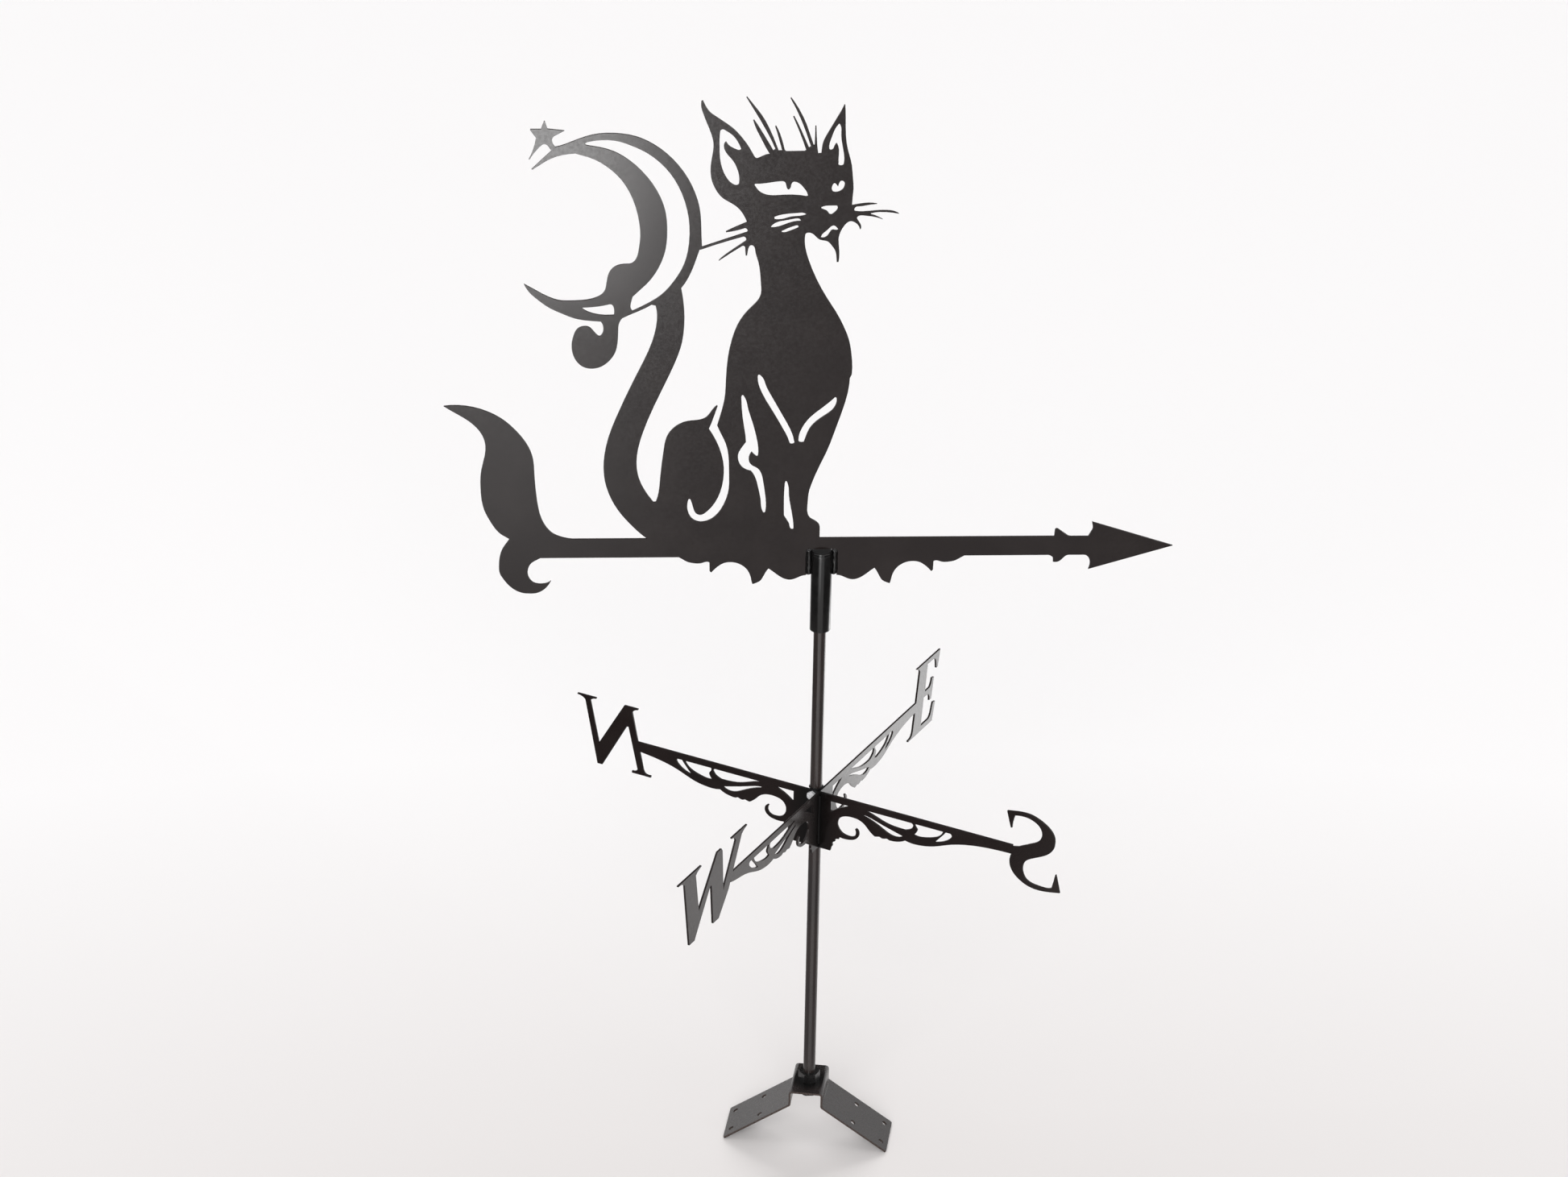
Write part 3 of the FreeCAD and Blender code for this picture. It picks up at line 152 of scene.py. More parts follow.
class PlateSettings(bpy.types.PropertyGroup):
    """The cut sheet plates and their powder coat"""

    edge_round: bpy.props.FloatProperty(
        name="Edge rounding", description="Rounding that the coat leaves on the plates' edges",
        default=0.28 * MM, unit="LENGTH", precision=5)
    coat_colour: bpy.props.FloatVectorProperty(
        name="Plate coat", description="Colour of the plates' powder coat",
        default=(0.0062, 0.0032, 0.0029), subtype="COLOR", size=3)
    coat_worn_colour: bpy.props.FloatVectorProperty(
        name="Plate coat, pale", description="Colour of the coat where it is thin and dusty",
        default=(0.0100, 0.0064, 0.0059), subtype="COLOR", size=3)
    coat_roughness: bpy.props.FloatProperty(
        name="Plate roughness", description="Roughness of the plates' coat",
        default=0.21, min=0.0, max=1.0)
    coat_haze: bpy.props.FloatProperty(
        name="Haze", description="Pale bloom that the fine-grained coat shows at a slant",
        default=0.16, min=0.0, max=1.0)
    grain_size: bpy.props.FloatProperty(
        name="Grain", description="Size of the coat's fine texture",
        default=0.7 * MM, unit="LENGTH", precision=5)


class MastSettings(bpy.types.PropertyGroup):
    """The mast, its foot and the sleeve that turns on it"""

    round_steps: bpy.props.IntProperty(
        name="Steps", description="Flats round the mast and the sleeve", default=96, min=24)
    sleeve_edge: bpy.props.FloatProperty(
        name="Sleeve edge", description="Rounding of the sleeve's cut ends",
        default=0.35 * MM, unit="LENGTH", precision=5)
    thread_pitch: bpy.props.FloatProperty(
        name="Thread pitch", description="Pitch of the thread on the mast's foot",
        default=1.75 * MM, unit="LENGTH", precision=5)
    thread_depth: bpy.props.FloatProperty(
        name="Thread depth", description="Depth of the thread on the mast's foot",
        default=0.55 * MM, unit="LENGTH", precision=5)
    mast_colour: bpy.props.FloatVectorProperty(
        name="Mast paint", description="Colour of the mast's satin paint",
        default=(0.0075, 0.0050, 0.0046), subtype="COLOR", size=3)
    gloss_colour: bpy.props.FloatVectorProperty(
        name="Gloss paint", description="Colour of the gloss paint on sleeve and welds",
        default=(0.0016, 0.0015, 0.0015), subtype="COLOR", size=3)


class FootSettings(bpy.types.PropertyGroup):
    """The ridge bracket and the nuts of the mast's foot"""

    bar_edge: bpy.props.FloatProperty(
        name="Bar edge", description="Rounding of the bent bar's edges",
        default=0.35 * MM, unit="LENGTH", precision=5)
    bracket_colour: bpy.props.FloatVectorProperty(
        name="Bracket coat", description="Colour of the bracket's coat",
        default=(0.0090, 0.0062, 0.0058), subtype="COLOR", size=3)
    bar_rim_colour: bpy.props.FloatVectorProperty(
        name="Bracket rim", description="Brownish coat on the bar's cut edges, where it is thin",
        default=(0.032, 0.020, 0.016), subtype="COLOR", size=3)
    nut_colour: bpy.props.FloatVectorProperty(
        name="Nut paint", description="Colour of the painted nuts",
        default=(0.0026, 0.0024, 0.0024), subtype="COLOR", size=3)
    zinc_colour: bpy.props.FloatVectorProperty(
        name="Zinc", description="Colour of the bright compass bolt",
        default=(0.90, 0.91, 0.93), subtype="COLOR", size=3)


class WeldSettings(bpy.types.PropertyGroup):
    """The hand-laid welds"""

    lump_size: bpy.props.FloatProperty(
        name="Lump size", description="Length of the weld's ripples",
        default=4.5 * MM, unit="LENGTH", precision=5)
    toe_size: bpy.props.FloatProperty(
        name="Toe size", description="Lump that closes the corner beside the cap",
        default=4.4 * MM, unit="LENGTH", precision=5)
    lump_height: bpy.props.FloatProperty(
        name="Lump height", description="Height of the weld's ripples",
        default=0.7 * MM, unit="LENGTH", precision=5)


class StageSettings(bpy.types.PropertyGroup):
    """The photograph's floor, light and camera"""

    # The darker near colour is painted shade in a broad pool before the object
    floor_shaded_near_colour: bpy.props.FloatVectorProperty(
        name="Floor, near", description="Colour of the floor before the object",
        default=(0.75, 0.722, 0.714), subtype="COLOR", size=3)
    floor_far_colour: bpy.props.FloatVectorProperty(
        name="Floor, far", description="Colour of the sweep behind the object",
        default=(0.93, 0.922, 0.926), subtype="COLOR", size=3)
    world_strength: bpy.props.FloatProperty(
        name="Room light", description="Strength of the white room round the object",
        default=0.46, min=0.0)
    camera_place: bpy.props.FloatVectorProperty(
        name="Camera", description="Place of the camera", size=3, subtype="TRANSLATION",
        default=(-0.2686, -3.8977, 2.5182))
    camera_turn: bpy.props.FloatVectorProperty(
        name="Camera turn", description="Pitch down, yaw to the right and roll of the camera",
        size=3, subtype="EULER", default=(0.4662, 0.0598, 0.0202))
    camera_lens: bpy.props.FloatProperty(
        name="Lens", description="Focal length on a 36 mm wide sensor", default=105.27, min=1.0)


# Shader nodes

def new_material(name):
    material = bpy.data.materials.new(name)
    material.use_nodes = True
    nodes = material.node_tree.nodes
    nodes.clear()
    output = nodes.new("ShaderNodeOutputMaterial")
    shader = nodes.new("ShaderNodeBsdfPrincipled")
    material.node_tree.links.new(shader.outputs["BSDF"], output.inputs["Surface"])
    return material, shader


def node_of(material, kind, **values):
    node = material.node_tree.nodes.new(kind)
    for key, value in values.items():
        if key in node.inputs.keys():
            node.inputs[key].default_value = value
        else:
            setattr(node, key, value)
    return node


def link(material, source, target):
    material.node_tree.links.new(source, target)


def object_noise(material, size, detail=3.0, stretch=(1, 1, 1)):
    """A noise in the piece's own coordinates whose features are about size long."""
    place = node_of(material, "ShaderNodeTexCoord")
    mapping = node_of(material, "ShaderNodeMapping")
    mapping.inputs["Scale"].default_value = stretch
    pattern = node_of(material, "ShaderNodeTexNoise", Scale=1.0 / size, Detail=detail,
                      Roughness=NOISE_ROUGHNESS)
    link(material, place.outputs["Object"], mapping.inputs["Vector"])
    link(material, mapping.outputs["Vector"], pattern.inputs["Vector"])
    return pattern.outputs["Fac"]


def mapped(material, value, low, high, low_out, high_out):
    ramp = node_of(material, "ShaderNodeMapRange")
    for name, number in (("From Min", low), ("From Max", high), ("To Min", low_out),
                         ("To Max", high_out)):
        ramp.inputs[name].default_value = number
    link(material, value, ramp.inputs["Value"])
    return ramp.outputs["Result"]


def plan_distance(material, shift, stretch):
    """Distance from a place in plan, with each axis stretched by its own amount."""
    place = node_of(material, "ShaderNodeTexCoord")
    mapping = node_of(material, "ShaderNodeMapping")
    mapping.inputs["Location"].default_value = shift
    mapping.inputs["Scale"].default_value = stretch
    reach = node_of(material, "ShaderNodeVectorMath", operation="LENGTH")
    link(material, place.outputs["Object"], mapping.inputs["Vector"])
    link(material, mapping.outputs["Vector"], reach.inputs[0])
    return reach.outputs["Value"]


def mixed_colour(material, factor, first, second):
    """A mix of two colours, each given as a value or as another node's colour."""
    mix = node_of(material, "ShaderNodeMix", data_type="RGBA")
    first_input, second_input, colour_output = 6, 7, 2
    for index, colour in ((first_input, first), (second_input, second)):
        if isinstance(colour, bpy.types.NodeSocket):
            link(material, colour, mix.inputs[index])
        else:
            mix.inputs[index].default_value = (*colour, 1)
    link(material, factor, mix.inputs[0])
    return mix.outputs[colour_output]


def mixed_roughness(material, factor, first, second):
    """A mix of a roughness value and another node's roughness."""
    mix = node_of(material, "ShaderNodeMix", data_type="FLOAT")
    first_input, second_input, value_output = 2, 3, 0
    mix.inputs[first_input].default_value = first
    link(material, second, mix.inputs[second_input])
    link(material, factor, mix.inputs[0])
    return mix.outputs[value_output]


def bumped(material, shader, height, relief, below=None):
    """Adds relief of a strength and depth, on top of the relief below it if there is one."""
    strength, depth = relief
    bump = node_of(material, "ShaderNodeBump", Strength=strength, Distance=depth)
    link(material, height, bump.inputs["Height"])
    if below is not None:
        link(material, below, bump.inputs["Normal"])
    link(material, bump.outputs["Normal"], shader.inputs["Normal"])
    return bump.outputs["Normal"]


def textured_coat(name, colour, pale, roughness, grain, haze, shine=0.30, rim=None,
                  overspray_and_shade=None):
    """A fine-textured powder coat: a small grain, soft cloudy changes and dusty patches. A rim
    colour shows on faces marked as thin coat. Overspray and shade is a glossy black, partly
    black paint and partly painted shade, with the distances from the mast's axis between
    which it fades out."""
    material, shader = new_material(name)
    clouds = object_noise(material, CLOUD_SIZE, detail=4)
    dust = mapped(material, clouds, 0.42, 0.68, 0.0, 1.0)
    coat = mixed_colour(material, dust, colour, pale)
    if rim is not None:
        worn = node_of(material, "ShaderNodeAttribute", attribute_name="thin_coat")
        coat = mixed_colour(material, worn.outputs["Fac"], coat, rim)
    shader.inputs["Sheen Weight"].default_value = haze
    # Painted shade with black overspray: near the mast the coat turns black and glossier, and
    # loses its haze
    if overspray_and_shade is not None:
        black, inner, outer = overspray_and_shade
        away = mapped(material, plan_distance(material, (0, 0, 0), (1, 1, 0)),
                      inner, outer, 0.0, 1.0)
        coat = mixed_colour(material, away, black, coat)
        bloom = mapped(material, away, 0.0, 1.0, 0.0, haze)
        link(material, bloom, shader.inputs["Sheen Weight"])
    link(material, coat, shader.inputs["Base Color"])
    speckle = object_noise(material, SPECKLE_SIZE, detail=3)
    rough = mapped(material, speckle, 0.3, 0.7, roughness - COAT_SPREAD,
                   roughness + COAT_SPREAD)
    if overspray_and_shade is not None:
        rough = mixed_roughness(material, away, WET_ROUGHNESS, rough)
    link(material, rough, shader.inputs["Roughness"])
    fine = object_noise(material, grain, detail=2)
    under = bumped(material, shader, fine, GRAIN_RELIEF)
    peel = object_noise(material, PEEL_SIZE, detail=2)
    bumped(material, shader, peel, PEEL_RELIEF, under)
    shader.inputs["Specular IOR Level"].default_value = shine
    shader.inputs["Sheen Roughness"].default_value = 0.35
    shader.inputs["Sheen Tint"].default_value = (1.0, 0.94, 0.92, 1)
    return material


def gloss_paint(name, colour, roughness=0.17, shine=0.5):
    """Thick gloss paint with a soft peel and thin dusty places."""
    material, shader = new_material(name)
    clouds = object_noise(material, PAINT_CLOUD_SIZE, detail=3)
    lift = tuple(2.2 * part for part in colour)
    link(material, mixed_colour(material, clouds, colour, lift), shader.inputs["Base Color"])
    rough = mapped(material, clouds, 0.35, 0.65, roughness - 0.05, roughness + 0.10)
    link(material, rough, shader.inputs["Roughness"])
    peel = object_noise(material, PAINT_PEEL_SIZE, detail=2)
    bumped(material, shader, peel, PAINT_RELIEF)
    shader.inputs["Specular IOR Level"].default_value = shine
    return material


def cap_paint(name, colour, rim_radius):
    """The gloss paint of the cap, gone dull on the flat of its top."""
    material = gloss_paint(name, colour)
    shader = next(node for node in material.node_tree.nodes
                  if node.type == "BSDF_PRINCIPLED")
    rough = mapped(material, plan_distance(material, (0, 0, 0), (1, 1, 0)),
                   rim_radius - 1.6 * MM, rim_radius - 0.9 * MM,
                   CAP_FLAT_ROUGHNESS, CAP_RIM_ROUGHNESS)
    link(material, rough, shader.inputs["Roughness"])
    return material


def satin_mast_paint(name, colour):
    """Satin paint on drawn bar: faint streaks along the bar and long brownish clouds."""
    material, shader = new_material(name)
    streaks = object_noise(material, STREAK_SIZE, detail=3, stretch=(1, 1, 0.03))
    clouds = object_noise(material, BAR_CLOUD_SIZE, detail=3, stretch=(1, 1, 0.4))
    brown = (colour[0] * 2.3, colour[1] * 2.0, colour[2] * 1.85)
    mix = mapped(material, clouds, 0.4, 0.65, 0.0, 1.0)
    link(material, mixed_colour(material, mix, colour, brown), shader.inputs["Base Color"])
    rough = mapped(material, streaks, 0.3, 0.7, 0.20, 0.32)
    link(material, rough, shader.inputs["Roughness"])
    bumped(material, shader, streaks, STREAK_RELIEF)
    shader.inputs["Specular IOR Level"].default_value = 0.95
    return material


def bright_metal(name, colour, roughness, metallic=1.0, turning=False):
    """Bare or zinc-plated steel with fine turning marks or a mottled zinc bloom."""
    material, shader = new_material(name)
    stretch = (1, 1, 14) if turning else (1, 1, 1)
    marks = object_noise(material, METAL_MARK_SIZE, detail=4, stretch=stretch)
    dull = tuple(0.72 * part for part in colour)
    link(material, mixed_colour(material, marks, colour, dull), shader.inputs["Base Color"])
    rough = mapped(material, marks, 0.3, 0.7, roughness - 0.06, roughness + 0.10)
    link(material, rough, shader.inputs["Roughness"])
    bumped(material, shader, marks, METAL_RELIEF)
    shader.inputs["Metallic"].default_value = metallic
    return material


def natural_nylon(name):
    """Off-white nylon with turning marks."""
    material, shader = new_material(name)
    marks = object_noise(material, NYLON_MARK_SIZE, detail=2, stretch=(0.2, 0.2, 6))
    link(material, mixed_colour(material, marks, NYLON_COLOUR, NYLON_SHADE),
         shader.inputs["Base Color"])
    rough = mapped(material, marks, 0.3, 0.7, 0.35, 0.5)
    link(material, rough, shader.inputs["Roughness"])
    bumped(material, shader, marks, NYLON_RELIEF)
    shader.inputs["Subsurface Weight"].default_value = 0.1
    shader.inputs["Subsurface Scale"].default_value = 1 * MM
    return material


# Mesh helpers

def add_piece(name, mesh_data, body, material, replaced=()):
    """Puts a finished mesh in the scene, on its body and with its finish."""
    piece = bpy.data.objects.new(name, mesh_data)
    bpy.context.scene.collection.objects.link(piece)
    mesh_data.materials.clear()
    mesh_data.materials.append(material)
    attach(piece, body)
    if replaced:
        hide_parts(*replaced)
    return piece


def mesh_from(name, bm):
    mesh_data = bpy.data.meshes.new(name)
    bm.to_mesh(mesh_data)
    bm.free()
    return mesh_data


def make_flats_whole(bm):
    bmesh.ops.dissolve_limit(bm, angle_limit=FLAT_ANGLE, use_dissolve_boundaries=False,
                             verts=bm.verts, edges=bm.edges)


def merged_bmesh(names):
    """A welded copy of some CAD nodes' triangles with their flat faces made whole."""
    bm = bmesh.new()
    for name in names:
        bm.from_mesh(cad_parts[name].data)
    bmesh.ops.remove_doubles(bm, verts=bm.verts, dist=MERGE_DISTANCE)
    make_flats_whole(bm)
    return bm


def bracket_directions():
    """The level directions across and along the roof's ridge."""
    across = Vector((math.cos(BRACKET_TURN), math.sin(BRACKET_TURN), 0))
    along = Vector((-math.sin(BRACKET_TURN), math.cos(BRACKET_TURN), 0))
    return across, along


def joined_bar(names):
    """The bent bar's stretches as one skin, without the cut faces between them."""
    bm = merged_bmesh(names)
    across, _ = bracket_directions()
    cuts = [face for face in bm.faces
            if abs(face.normal.dot(across)) > SQUARE
            and abs(abs(face.calc_center_median().dot(across)) - CROWN_HALF_WIDTH) < 0.1 * MM]
    bmesh.ops.delete(bm, geom=cuts, context="FACES_ONLY")
    if not all(edge.is_manifold for edge in bm.edges):
        raise RuntimeError("the bar's stretches did not join")
    make_flats_whole(bm)
    return bm


def keep_sharp_edges(bm):
    for edge in bm.edges:
        if len(edge.link_faces) == 2:
            edge.smooth = edge.calc_face_angle(0.0) < SHARP_ANGLE


def round_edges(bm, rims, offset):
    bmesh.ops.bevel(bm, geom=rims, offset=offset, offset_type="OFFSET", segments=2,
                    profile=0.5, affect="EDGES", clamp_overlap=True, material=-1)
    bm.normal_update()


def bevelled_sheet(node, name, normal, offset, material, body):
    """A cut sheet's plate with the small rounding that its coat leaves on every edge."""
    bm = merged_bmesh([node])
    rims = []
    for edge in bm.edges:
        if len(edge.link_faces) != 2:
            continue
        facing = [abs(face.normal.dot(normal)) > SQUARE for face in edge.link_faces]
        if facing[0] != facing[1]:
            rims.append(edge)
    round_edges(bm, rims, offset)
    for face in bm.faces:
        face.smooth = abs(face.normal.dot(normal)) < SQUARE
    keep_sharp_edges(bm)
    return add_piece(name, mesh_from(name, bm), body, material, (node,))


def lathed(name, profile, steps):
    """Turns a profile of (radius, height) points about the mast's axis. The profile runs from
    the axis to the axis, or ends where it starts."""
    places = [profile[0]]
    for place in profile[1:]:
        if math.dist(place, places[-1]) > MERGE_DISTANCE:
            places.append(place)
    is_loop = math.dist(places[0], places[-1]) < MERGE_DISTANCE
    if is_loop:
        places.pop()
    bm = bmesh.new()
    rings = []
    for radius, height in places:
        turns = [2 * math.pi * step / steps for step in range(steps if radius > 0 else 1)]
        rings.append([bm.verts.new((radius * math.cos(turn), radius * math.sin(turn), height))
                      for turn in turns])
    followers = rings[1:] + rings[:1] if is_loop else rings[1:]
    for here, there in zip(rings, followers):
        for step in range(steps):
            corners = [here[step % len(here)], here[(step + 1) % steps % len(here)],
                       there[(step + 1) % steps % len(there)], there[step % len(there)]]
            bm.faces.new(tuple(dict.fromkeys(corners)))
    bmesh.ops.recalc_face_normals(bm, faces=bm.faces)
    for face in bm.faces:
        face.smooth = True
    keep_sharp_edges(bm)
    return mesh_from(name, bm)


def quarter(centre_r, centre_z, radius, start, count=4):
    """Points on a quarter circle that turns left from the angle start, in degrees."""
    points = []
    for step in range(count + 1):
        angle = math.radians(start + 90 * step / count)
        points.append((centre_r + radius * math.cos(angle), centre_z + radius * math.sin(angle)))
    return points


def lumpy_weld(node, name, body, paint, grain, settings, share, toe=None):
    """A weld bead: the CAD bead, cut finer and raised in ripples, with a lump at its toe."""
    bm = bmesh.new()
    bm.from_mesh(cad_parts[node].data)
    bmesh.ops.remove_doubles(bm, verts=bm.verts, dist=MERGE_DISTANCE)
    long_edges = [edge for edge in bm.edges if edge.calc_length() > WELD_CUT_LENGTH]
    bmesh.ops.subdivide_edges(bm, edges=long_edges, cuts=3, use_grid_fill=True)
    bmesh.ops.triangulate(bm, faces=bm.faces)
    long_edges = [edge for edge in bm.edges if edge.calc_length() > WELD_FINE_LENGTH]
    bmesh.ops.subdivide_edges(bm, edges=long_edges, cuts=1)
    bmesh.ops.triangulate(bm, faces=bm.faces)
    if toe is not None:
        bmesh.ops.create_icosphere(bm, subdivisions=3, radius=settings.toe_size / 2,
                                   matrix=Matrix.Translation(toe))
    bm.normal_update()
    moves = []
    for vertex in bm.verts:
        seed = Vector((grain, 0, 0)) + vertex.co / settings.lump_size
        ripple = noise.noise(seed) + 0.5 * noise.noise(2.3 * seed)
        moves.append((vertex, vertex.normal * ripple * settings.lump_height * share))
    for vertex, move in moves:
        vertex.co += move
    for face in bm.faces:
        face.smooth = True
    return add_piece(name, mesh_from(name, bm), body,
                     bpy.data.materials[paint], (node,))


def node_material(names, material):
    """Gives carried-over CAD nodes their coat."""
    for name in names:
        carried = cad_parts[name]
        for index in range(len(carried.data.materials)):
            carried.data.materials[index] = material
        for slot in carried.material_slots:
            slot.material = material


class WEATHERVANE_OT_coats(bpy.types.Operator):
    """Mixes the coats and metals that all the pieces share"""

    bl_idname = "weathervane.coats"
    bl_label = "Coats and metals"

    def execute(self, context):
        plate = context.scene.vane_plates
        mast = context.scene.vane_mast
        foot = context.scene.vane_foot
        sheet_coat = (plate.coat_colour, plate.coat_worn_colour, plate.coat_roughness,
                      plate.grain_size, plate.coat_haze)
        textured_coat("plate_powder_coat", *sheet_coat)
        # The compass and bracket coats turn black and glossy near the mast: black overspray and
        # painted shade
        textured_coat("compass_powder_coat", *sheet_coat,
                      overspray_and_shade=(mast.gloss_colour, *HUB_OVERSPRAY_AND_SHADE))
        textured_coat("bracket_powder_coat", foot.bracket_colour,
                      tuple(1.6 * part for part in foot.bracket_colour),
                      roughness=0.28, grain=0.8 * MM, haze=0.0, shine=0.6,
                      rim=foot.bar_rim_colour,
                      overspray_and_shade=(mast.gloss_colour, *NUT_OVERSPRAY_AND_SHADE))
        gloss_paint("gloss_black_paint", mast.gloss_colour)
        cap_paint("cap_black_paint", mast.gloss_colour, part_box("rotor_sleeve")[1][0])
        gloss_paint("nut_black_paint", foot.nut_colour, roughness=0.22)
        gloss_paint("weld_gloss_paint", mast.gloss_colour, roughness=0.11)
        gloss_paint("weld_dull_paint", mast.gloss_colour, roughness=0.50, shine=0.12)
        satin_mast_paint("mast_satin_paint", mast.mast_colour)
        bright_metal("bright_zinc", foot.zinc_colour, roughness=0.24, metallic=0.35)
        bright_metal("polished_steel", STEEL_COLOUR, roughness=0.14, turning=True)
        natural_nylon("bush_nylon")
        return {"FINISHED"}


class WEATHERVANE_OT_vane_plate(bpy.types.Operator):
    """Makes the coated arrow, cat and moon plate"""

    bl_idname = "weathervane.vane_plate"
    bl_label = "Vane plate"

    def execute(self, context):
        settings = context.scene.vane_plates
        bevelled_sheet("vane_plate", "coated_vane_plate", Vector((0, 1, 0)),
                       settings.edge_round, bpy.data.materials["plate_powder_coat"],
                       "vane")
        return {"FINISHED"}


class WEATHERVANE_OT_compass(bpy.types.Operator):
    """Makes the two coated compass plates"""

    bl_idname = "weathervane.compass"
    bl_label = "Compass plates"

    def execute(self, context):
        settings = context.scene.vane_plates
        east = Vector((math.sin(COMPASS_TURN), math.cos(COMPASS_TURN), 0))
        north = Vector((-math.cos(COMPASS_TURN), math.sin(COMPASS_TURN), 0))
        for node, normal in (("compass_plate_ns", east), ("compass_plate_we", north)):
            bevelled_sheet(node, "coated_" + node, normal, settings.edge_round,
                           bpy.data.materials["compass_powder_coat"], "stand")
        return {"FINISHED"}


class WEATHERVANE_OT_sleeve(bpy.types.Operator):
    """Turns the glossy sleeve and its cap"""

    bl_idname = "weathervane.sleeve"
    bl_label = "Sleeve and cap"

    def execute(self, context):
        settings = context.scene.vane_mast
        low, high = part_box("rotor_sleeve")
        radius = high[0]
        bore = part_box("lower_bush")[1][0]
        edge = settings.sleeve_edge
        base = low[2]
        top = high[2]
        profile = [(bore, base + edge)] + quarter(bore + edge, base + edge, edge, 180)
        profile += quarter(radius - edge, base + edge, edge, 270)
        profile += quarter(radius - edge, top - edge, edge, 0)
        profile += quarter(bore + edge, top - edge, edge, 90)
        profile += [(bore, base + edge)]
        tube = lathed("painted_sleeve", profile, settings.round_steps)
        gloss = bpy.data.materials["gloss_black_paint"]
        add_piece("painted_sleeve", tube, "vane", gloss, ("rotor_sleeve",))
        cap_low, cap_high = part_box("sleeve_cap")
        lid = cap_high[2]
        crown = 0.5 * MM
        rim = 0.8 * MM
        profile = [(0, cap_low[2]), (bore, cap_low[2]), (bore, top), (radius, top)]
        profile += quarter(radius - rim, lid - crown - rim, rim, 0)
        profile += [(0.75 * radius, lid - 0.45 * crown), (0.4 * radius, lid - 0.1 * crown),
                    (0, lid)]
        cap = lathed("painted_cap", profile, settings.round_steps)
        add_piece("painted_cap", cap, "vane",
                  bpy.data.materials["cap_black_paint"], ("sleeve_cap",))
        return {"FINISHED"}


class WEATHERVANE_OT_mast(bpy.types.Operator):
    """Paints the mast and cuts the thread on its foot"""

    bl_idname = "weathervane.mast"
    bl_label = "Mast"

    def execute(self, context):
        settings = context.scene.vane_mast
        node_material(["mast"], bpy.data.materials["mast_satin_paint"])
        low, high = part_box("mast")
        nut_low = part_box("lower_nut")[0][2]
        crest = high[0]
        root = crest - settings.thread_depth
        pitch = settings.thread_pitch
        start = low[2] + pitch
        section = ((root, start - pitch / 2), (crest, start), (root, start + pitch / 2))
        bm = bmesh.new()
        points = [bm.verts.new((reach, 0, height)) for reach, height in section]
        edges = [bm.edges.new(pair) for pair in zip(points, points[1:] + points[:1])]
        turns = (nut_low - start) / pitch
        bmesh.ops.spin(bm, geom=points + edges, cent=(0, 0, 0), axis=(0, 0, 1),
                       dvec=(0, 0, pitch / THREAD_STEPS), angle=2 * math.pi * turns,
                       steps=int(THREAD_STEPS * turns))
        ends = [edge for edge in bm.edges if edge.is_boundary]
        bmesh.ops.holes_fill(bm, edges=ends, sides=len(points))
        bmesh.ops.recalc_face_normals(bm, faces=bm.faces)
        mesh_data = mesh_from("foot_thread", bm)
        add_piece("foot_thread", mesh_data, "stand",
                  bpy.data.materials["nut_black_paint"])
        return {"FINISHED"}


class WEATHERVANE_OT_bracket(bpy.types.Operator):
    """Makes the bent ridge bracket with rounded bar edges"""

    bl_idname = "weathervane.bracket"
    bl_label = "Ridge bracket"

    def execute(self, context):
        settings = context.scene.vane_foot
        bm = joined_bar(BRACKET_NODES)
        rims = [edge for edge in bm.edges
                if len(edge.link_faces) == 2 and edge.calc_face_angle(0.0) > RIM_ANGLE]
        round_edges(bm, rims, settings.bar_edge)
        across, along = bracket_directions()
        upward = Vector((0, 0, 1))
        lean = math.sin(WING_SLOPE)
        flats = (across, upward, math.cos(WING_SLOPE) * upward + lean * across,
                 math.cos(WING_SLOPE) * upward - lean * across)
        thin = bm.faces.layers.float.new("thin_coat")
        for face in bm.faces:
            side_on = abs(face.normal.dot(along))
            is_broad = any(abs(face.normal.dot(flat)) > VERY_SQUARE for flat in flats)
            reach = abs(face.calc_center_median().dot(across))
            is_bend = side_on < 0.01 and reach < CROWN_HALF_WIDTH
            face.smooth = not (is_broad or side_on > VERY_SQUARE)
            face[thin] = 0.0 if is_broad or is_bend else 1.0
        keep_sharp_edges(bm)
        add_piece("coated_bracket", mesh_from("coated_bracket", bm), "stand",
                  bpy.data.materials["bracket_powder_coat"], BRACKET_NODES)
        return {"FINISHED"}


class WEATHERVANE_OT_foot_nuts(bpy.types.Operator):
    """Paints the mast's two nuts and the washer"""

    bl_idname = "weathervane.foot_nuts"
    bl_label = "Foot nuts"

    def execute(self, context):
        node_material(["upper_nut", "lower_nut", "lower_washer"],
                      bpy.data.materials["nut_black_paint"])
        return {"FINISHED"}


class WEATHERVANE_OT_compass_bolt(bpy.types.Operator):
    """Plates the bolt that holds the compass to the mast"""

    bl_idname = "weathervane.compass_bolt"
    bl_label = "Compass bolt"

    def execute(self, context):
        node_material(["hub_bolt", "hub_nut"], bpy.data.materials["bright_zinc"])
        return {"FINISHED"}


